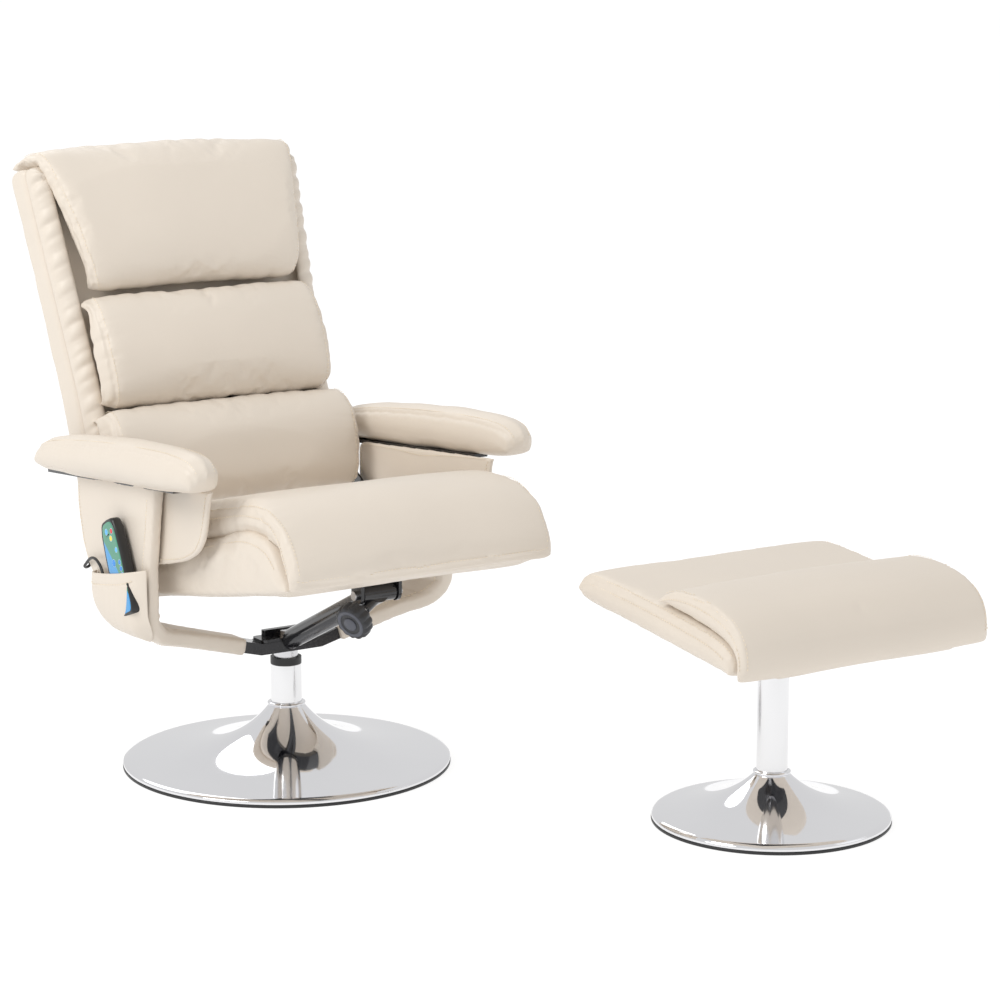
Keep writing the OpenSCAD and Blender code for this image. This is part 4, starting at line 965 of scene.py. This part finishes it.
def handsetPocket():
    # a leather wall that hangs off the sleeve: outer skin and inner skin, joined at the rim and closed below
    p = pocketLook
    across = np.linspace(*p["ends"], 60)
    t = np.linspace(0, 1, 60)
    profile = curveThrough([(0.284, 0), (0.305, 0.07), (0.322, 0.20), (0.331, 0.44), (0.3335, 0.74), (0.3325, 1)], 40)
    inner = curveThrough([(0.290, 0.08), (0.305, 0.12), (0.317, 0.24), (0.3275, 0.46), (0.3302, 0.74), (0.3293, 1)], 40)
    # the wall comes in to the sleeve at both ends; its foot is rounded off and its rim slants and sags
    hold = (1 - np.abs(2 * t - 1)**4.5)[:, None]
    foot = np.interp(across, *zip(*p["foot"]))[:, None]
    rim = lerp(*p["rim"], t)[:, None] - 0.003 * np.sin(math.pi * t)[:, None]

    def skin(section, y, least, most):
        z = foot + (rim - foot) * section[None, :, 1]
        sleeveX = np.interp(z, [0.25, 0.26, 0.28, 0.30, 0.315, 0.42], [0.262, 0.276, 0.294, 0.3015, 0.3034, 0.3034])
        x = -(sleeveX + (section[None, :, 0] - sleeveX) * (least + (most - least) * hold))
        return np.stack([x, np.repeat(y[:, None], 40, 1), z], -1)

    outerGrid = skin(profile, across, 0.06, 1.0)
    innerGrid = skin(inner, np.linspace(p["ends"][0] + p["wall"], p["ends"][1] - p["wall"], 60), 0.02, 0.98)
    pull = ripple(across[:, None] + outerGrid[..., 2] * 0.25, 101, [(0.034, 0.5), (0.06, 0.5)])
    outerGrid[..., 0] += 0.0016 * pull * np.linspace(1, 0.2, 40)[None]
    grid = np.concatenate([outerGrid, innerGrid[:, ::-1]], 1)
    first, last = grid[:1].copy(), grid[-1:].copy()
    for cap in (first, last):
        half = cap.shape[1] // 2
        mid = (cap[:, :half] + cap[:, half:][:, ::-1]) / 2
        cap[:, :half], cap[:, half:] = mid, mid[:, ::-1]
    piece = surface("handsetPocket", np.vstack([first, grid, last]), leather)
    sub = piece.modifiers.new("smooth", "SUBSURF")
    sub.levels = sub.render_levels = 1
    appliedMesh(piece)
    line = np.column_stack([np.full(60, -0.3335), across, rim[:, 0] - 0.019])[3:-3]
    onto = laidOn(curveThrough(line, 120), piece, 6, 160)
    seam(piece, onto, 0.0022, 0.0010, 0.0006, 0.012, seed=103)
    stitches("pocketStitch", piece, line, "swivel_frame")
    softPiece(piece, "swivel_frame", "handset_pocket", levels=0)


handsetPocket()
print("pocket ready")


def revolved(name, profile, centre, body, slot, nodes, segments=160):
    # a profile of radius and height carried once round the Z axis
    profile = np.asarray(profile, float)
    angle = np.linspace(0, 2 * math.pi, segments, endpoint=False)
    grid = np.stack([
        centre[0] + profile[:, :1] * np.cos(angle)[None],
        centre[1] + profile[:, :1] * np.sin(angle)[None],
        np.repeat(profile[:, 1:], segments, 1)], -1)
    piece = surface(name, grid, finishes[slot])
    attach(piece, body)
    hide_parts(*nodes)
    return piece


def baseProfile(rim, neck, height):
    # shallow dish whose middle flares up into the neck: z = dish(r) + lift * exp(-(r - neck) / spread)
    ring, spread, rise, skin = 0.005, 0.060, 0.08, 0.002
    r = rim - (rim - neck) * np.sin(np.linspace(0, math.pi / 2, 48))
    lift = height - (ring + 0.006 + rise * (rim - neck))
    z = ring + 0.006 + rise * (rim - r) + lift * np.exp(-(r - neck) / spread)
    edge = [(rim - 0.0010, ring + 0.0002), (rim, ring + 0.0012), (rim, ring + 0.0050), (rim - 0.0008, ring + 0.0060)]
    top = np.column_stack([r[1:], z[1:]])
    under = np.column_stack([r[::-1] - skin, z[::-1] - skin])
    lip = [(neck, height + 0.001), (neck - skin, height + 0.001)]
    return np.vstack([edge, top, lip, under[1:], [(rim - skin, ring), (rim - 0.0010, ring + 0.0002)]])


def smoothRing(name, outer, inner, z, height, round, centre, body, slot, nodes):
    a = np.linspace(0, math.pi / 2, 5)
    top = [(outer - round + round * math.cos(t), z + height - round + round * math.sin(t)) for t in a]
    low = [(outer - round + round * math.cos(t), z + round - round * math.sin(t)) for t in a[::-1]]
    profile = [(inner, z), *low, *top, (inner, z + height), (inner, z)]
    return revolved(name, profile, centre, body, slot, nodes)


chairLook = {"rim": 0.285, "neck": 0.032, "neckTop": 0.104, "column": 0.027, "columnTop": 0.178, "ring": 0.022}
stoolBase = {"rim": 0.197, "neck": 0.030, "neckTop": 0.079, "column": 0.026, "columnTop": 0.292, "ring": 0.020}
stoolCentre = origins["cushion"][:2]
# each set: its sizes, centre, body, the prefix of its visual pieces and that of its CAD nodes
sets = (
    (chairLook, (0, 0), "chair_base", "chair", "base"),
    (stoolBase, stoolCentre, "footstool_base", "stool", "stool"),
)
shellNodes = {"chair": "base_shell", "stool": "stool_base_shell"}
for look, centre, body, visual, prefix in sets:
    profile = baseProfile(look["rim"], look["neck"], look["neckTop"])
    revolved(f"{visual}Base", profile, centre, body, "chrome_base", [shellNodes[visual]])
for look, centre, body, visual, prefix in sets:
    smoothRing(f"{visual}FloorRing", look["rim"] + 0.0005, look["rim"] - look["ring"], 0, 0.005, 0.0015, centre, body,
               "black_plastic", [f"{prefix}_floor_ring"])
for look, centre, body, visual, prefix in sets:
    smoothRing(f"{prefix}Column", look["column"], look["column"] - 0.002, 0.012, look["columnTop"] - 0.012, 0.0008,
               centre, body, "satin_column", [f"{prefix}_column"])
    a = np.linspace(0, math.pi, 9)
    n, w = look["neck"], look["column"]
    bead = [(n - 0.001 + 0.0025 * math.sin(t), look["neckTop"] + 0.0035 - 0.0025 * math.cos(t)) for t in a]
    revolved(f"{prefix}Collar", [(w, look["neckTop"] + 0.001), *bead, (w + 0.0005, look["neckTop"] + 0.008),
             (w, look["neckTop"] + 0.0075), (w, look["neckTop"] + 0.001)], centre, body, "chrome_base",
             [f"{prefix}_collar"])
print("bases ready")


def tubeAlong(name, path, radius, sides, material, closed=True):
    # circle carried along a path: each ring lies across the path, turned with it by parallel transport
    path = np.asarray(path, float)
    tangent = np.gradient(path, axis=0)
    tangent /= np.linalg.norm(tangent, axis=1, keepdims=True)
    side = np.cross(tangent[0], [0.31, 0.17, 0.93])
    frames = []
    for t in tangent:
        side = side - t * (side @ t)
        side = side / np.linalg.norm(side)
        frames.append((side, np.cross(t, side)))
    a, b = np.array([f[0] for f in frames]), np.array([f[1] for f in frames])
    radius = np.broadcast_to(radius, (len(path),))
    angle = np.linspace(0, 2 * math.pi, sides, endpoint=False)
    grid = (path[:, None] + radius[:, None, None] * (a[:, None] * np.cos(angle)[None, :, None]
            + b[:, None] * np.sin(angle)[None, :, None]))
    if closed:
        grid = np.vstack([np.repeat(path[:1, None], sides, 1), grid, np.repeat(path[-1:, None], sides, 1)])
    return surface(name, grid, material)


knobJoint = jointNamed("knob_turn")
knobAxis = np.array(knobJoint["axis"])
knobAt = np.array(knobJoint["pos_m"])


def aroundKnob(points):
    # local X, Y across the knob's axis, Z along it
    z = knobAxis / np.linalg.norm(knobAxis)
    x = np.cross([0, 0, 1], z)
    x /= np.linalg.norm(x)
    y = np.cross(z, x)
    return knobAt + points[..., :1] * x + points[..., 1:2] * y + points[..., 2:] * z


def reclineKnob():
    # radius(angle, height): fluted rim that rounds off at both ends, flat face with a groove and a raised centre
    angle = np.linspace(0, 2 * math.pi, 168, endpoint=False)
    rings = [(0.0, 0.0), (0.012, 0.0), (0.024, 0.0), (0.0285, 0.0015), (0.0305, 0.005), (0.031, 0.012), (0.0305, 0.019),
             (0.0285, 0.0225), (0.0262, 0.0240), (0.0250, 0.0240)]
    flute = 0.5 + 0.5 * np.cos(14 * angle)
    grid = []
    for r, z in rings:
        depth = 0.0 if r < 0.0284 else 1.0
        grid.append(np.stack([(r + 0.0024 * depth * (flute**0.6 - 0.5)) * np.cos(angle),
                              (r + 0.0024 * depth * (flute**0.6 - 0.5)) * np.sin(angle), np.full(168, z)], -1))
    grid.append(np.stack([0 * angle, 0 * angle, np.full(168, 0.0240)], -1))
    piece = surface("reclineKnob", aroundKnob(np.array(grid)), finishes["knob_plastic"])
    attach(piece, "knob")
    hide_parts("recline_knob")
    extras = {
        "knobRing": [(0.0185, 0.0238), (0.0187, 0.0247), (0.0245, 0.0247), (0.0250, 0.0238), (0.0185, 0.0238)],
        "knobCentre": [(0.0, 0.0238), (0.0120, 0.0238), (0.0120, 0.0252), (0.0105, 0.0262), (0.0, 0.0266)],
    }
    for name, profile in extras.items():
        profile = np.array(profile)
        turn = np.linspace(0, 2 * math.pi, 72, endpoint=False)
        r, z = profile[:, :1], np.repeat(profile[:, 1:], 72, 1)
        ring = np.stack([r * np.cos(turn), r * np.sin(turn), z], -1)
        extra = surface(name, aroundKnob(ring), finishes["knobGrey"])
        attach(extra, "knob")


reclineKnob()


handsetLook = {"width": 0.064, "length": 0.168, "thick": 0.020, "edge": 0.0045}


def handsetOutline(inset, count=160):
    w, n = handsetLook["width"] / 2 - inset, handsetLook["length"]
    corners = [(-w + 0.004, inset), (w - 0.004, inset), (w, 0.012 + inset), (w, n * 0.62), (w - 0.003, n * 0.86),
               (w - 0.010, n - 0.002 - inset), (0, n - inset), (-w + 0.010, n - 0.002 - inset), (-w + 0.003, n * 0.86),
               (-w, n * 0.62), (-w, 0.012 + inset)]
    return roundLoop(corners, count, 0.007, 6)


def handsetCase():
    # outline carried across the thickness: round edges, back face slightly full, a step down to the printed face
    h = handsetLook
    t = h["thick"] / 2
    layers = [(t, 0.026), (t, 0.018), (t - 0.0002, 0.010), (t - 0.001, 0.0035), (t - 0.0028, 0.0010), (t - 0.006, 0.0),
              (0, 0.0), (-t + 0.004, 0.0002), (-t + 0.0015, 0.0012), (-t + 0.0003, 0.0026), (-t, 0.0040),
              (-t + 0.0006, 0.0048),
              (-t + 0.0008, 0.010), (-t + 0.0008, 0.018), (-t + 0.0008, 0.026)]
    rings = [np.column_stack([np.full(160, x), handsetOutline(inset)]) for x, inset in layers]
    first = np.column_stack([np.full(160, t), np.zeros(160), rings[0][:, 2]])
    last = np.column_stack([np.full(160, -t + 0.0008), np.zeros(160), rings[-1][:, 2]])
    piece = surface("handsetCase", placed(np.array([first, *rings, last]), "handset"), finishes["handset_plastic"])
    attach(piece, "handset")
    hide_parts("handset_case")
    face = [(-t + 0.0010, 0.0052), (-t + 0.0004, 0.0052), (-t + 0.0002, 0.0056), (-t + 0.0002, 0.010),
            (-t + 0.0002, 0.018),
            (-t + 0.0002, 0.026)]
    rings = [np.column_stack([np.full(160, x), handsetOutline(inset)]) for x, inset in face]
    last = np.column_stack([np.full(160, -t + 0.0002), np.zeros(160), rings[-1][:, 2]])
    film = surface("handsetFace", placed(np.array([*rings, last]), "handset"), finishes["handset_print"])
    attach(film, "handset")
    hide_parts("handset_face")


# places on the film across and along the handset; set within its edge
keys = [((0.006, 0.1475), "paleBlue", 0.0048), ((-0.013, 0.1445), "red", 0.0042), ((-0.006, 0.1335), "yellow", 0.0044),
        ((-0.0165, 0.111), "paleBlue", 0.0040), ((-0.019, 0.089), "blue", 0.0040), ((-0.020, 0.078), "blue", 0.0040),
        ((-0.0205, 0.067), "blue", 0.0040), ((0.002, 0.0926), "blue", 0.0058)]


def dome(name, at, radius, height, material, base):
    # low round key: radius falls off as the square root towards its top
    angle = np.linspace(0, 2 * math.pi, 36, endpoint=False)
    f = np.array([1.0, 1.0, 0.96, 0.85, 0.6, 0.3, 0.0])
    up = np.array([0.0, 0.35, 0.6, 0.8, 0.93, 0.98, 1.0]) * height
    grid = np.stack([
        np.repeat(base - up[:, None], 36, 1),
        at[0] + radius * f[:, None] * np.cos(angle)[None],
        at[1] + radius * f[:, None] * np.sin(angle)[None]], -1)
    piece = surface(name, placed(grid, "handset"), material)
    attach(piece, "handset")
    return piece


faceX = -handsetLook["thick"] / 2 + 0.0002
for number, (at, color, radius) in enumerate(keys):
    rim = plasticFinish(f"keyRim{number}", (0.35, 0.52, 0.60), 0.3)
    dome(f"keyRing{number}", at, radius + 0.0010, 0.0002, rim, faceX)
    key = dome(f"key{number}", at, radius, 0.0006, keyFinishes[color], faceX - 0.0002)
    if number == 0:
        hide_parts("handset_keys")
handsetCase()
print("handset ready")

cordRoute = np.array([
    (-318, -5.8, 313.3), (-318, 0, 310.8), (-318, 8, 308.6), (-318, 20, 308.5), (-318, 32, 314), (-318, 41, 327),
    (-318, 48, 343), (-318, 56, 359), (-317, 68, 373), (-316, 82, 380.5), (-314, 97, 382.5), (-312, 113, 380.5),
    (-310, 128, 374.5), (-308, 142, 366), (-306.5, 153, 358.5), (-300, 161, 354), (-294, 163.5, 354.5),
    (-291, 163.4, 357), (-290, 162, 359.5)]) / 1000


def handsetCord():
    path = curveThrough(cordRoute[::-1], 120)
    piece = tubeAlong("handsetCord", path, 0.0025, 16, finishes["cord_jacket"])
    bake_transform(piece)
    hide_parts("handset_cord")


handsetCord()


def studio():
    scene = bpy.context.scene
    camera = bpy.data.objects.new("camera", bpy.data.cameras.new("camera"))
    scene.collection.objects.link(camera)
    azimuth, pitch = math.radians(-33.0047), math.radians(11.3536)
    camera.location = (-2.64368, -4.75299, 1.55542)
    camera.rotation_euler = (math.pi / 2 - pitch, 0, azimuth)
    camera.data.sensor_width = 36
    camera.data.lens = 115.81
    camera.data.clip_end = 60
    scene.camera = camera
    floor = makeMesh("floor", np.array([(-30, -30, 0), (30, -30, 0), (30, 30, 0), (-30, 30, 0)], float), [[0, 1, 2, 3]])
    pale = Finish("paleFloor", (0.30, 0.30, 0.30), 0.9, specular=0.0)
    pale.put("Emission Color", (1, 1, 1, 1))
    pale.put("Emission Strength", 0.80)
    at = pale.place()
    pale.put("Roughness", 0.85 + pale.noise(at, 3, 2) * 0.1)
    floor.data.materials.append(pale.material)
    world = bpy.data.worlds.new("studio")
    world.use_nodes = True
    world.node_tree.nodes["Background"].inputs[0].default_value = (1, 1, 1, 1)
    world.node_tree.nodes["Background"].inputs[1].default_value = 0.78
    scene.world = world
    lamps = {
        "key": ((-3.0, -0.3, 3.6), 2.2, 78, (1, 0.99, 0.97)),
        "fill": ((3.2, -2.6, 2.4), 2.4, 5, (0.97, 0.98, 1)),
        "rim": ((0.5, 3.4, 3.2), 2.2, 20, (1, 1, 1)),
    }
    for name, (at, size, power, color) in lamps.items():
        lamp = bpy.data.objects.new(name, bpy.data.lights.new(name, "AREA"))
        lamp.data.shape, lamp.data.size, lamp.data.energy, lamp.data.color = "DISK", size, power, color
        lamp.location = at
        direction = np.array([0.1, -0.2, 0.5]) - np.array(at)
        lamp.rotation_euler = Vector(direction).to_track_quat("-Z", "Y").to_euler()
        scene.collection.objects.link(lamp)
    scene.view_settings.view_transform = "Standard"


studio()
print("studio ready")
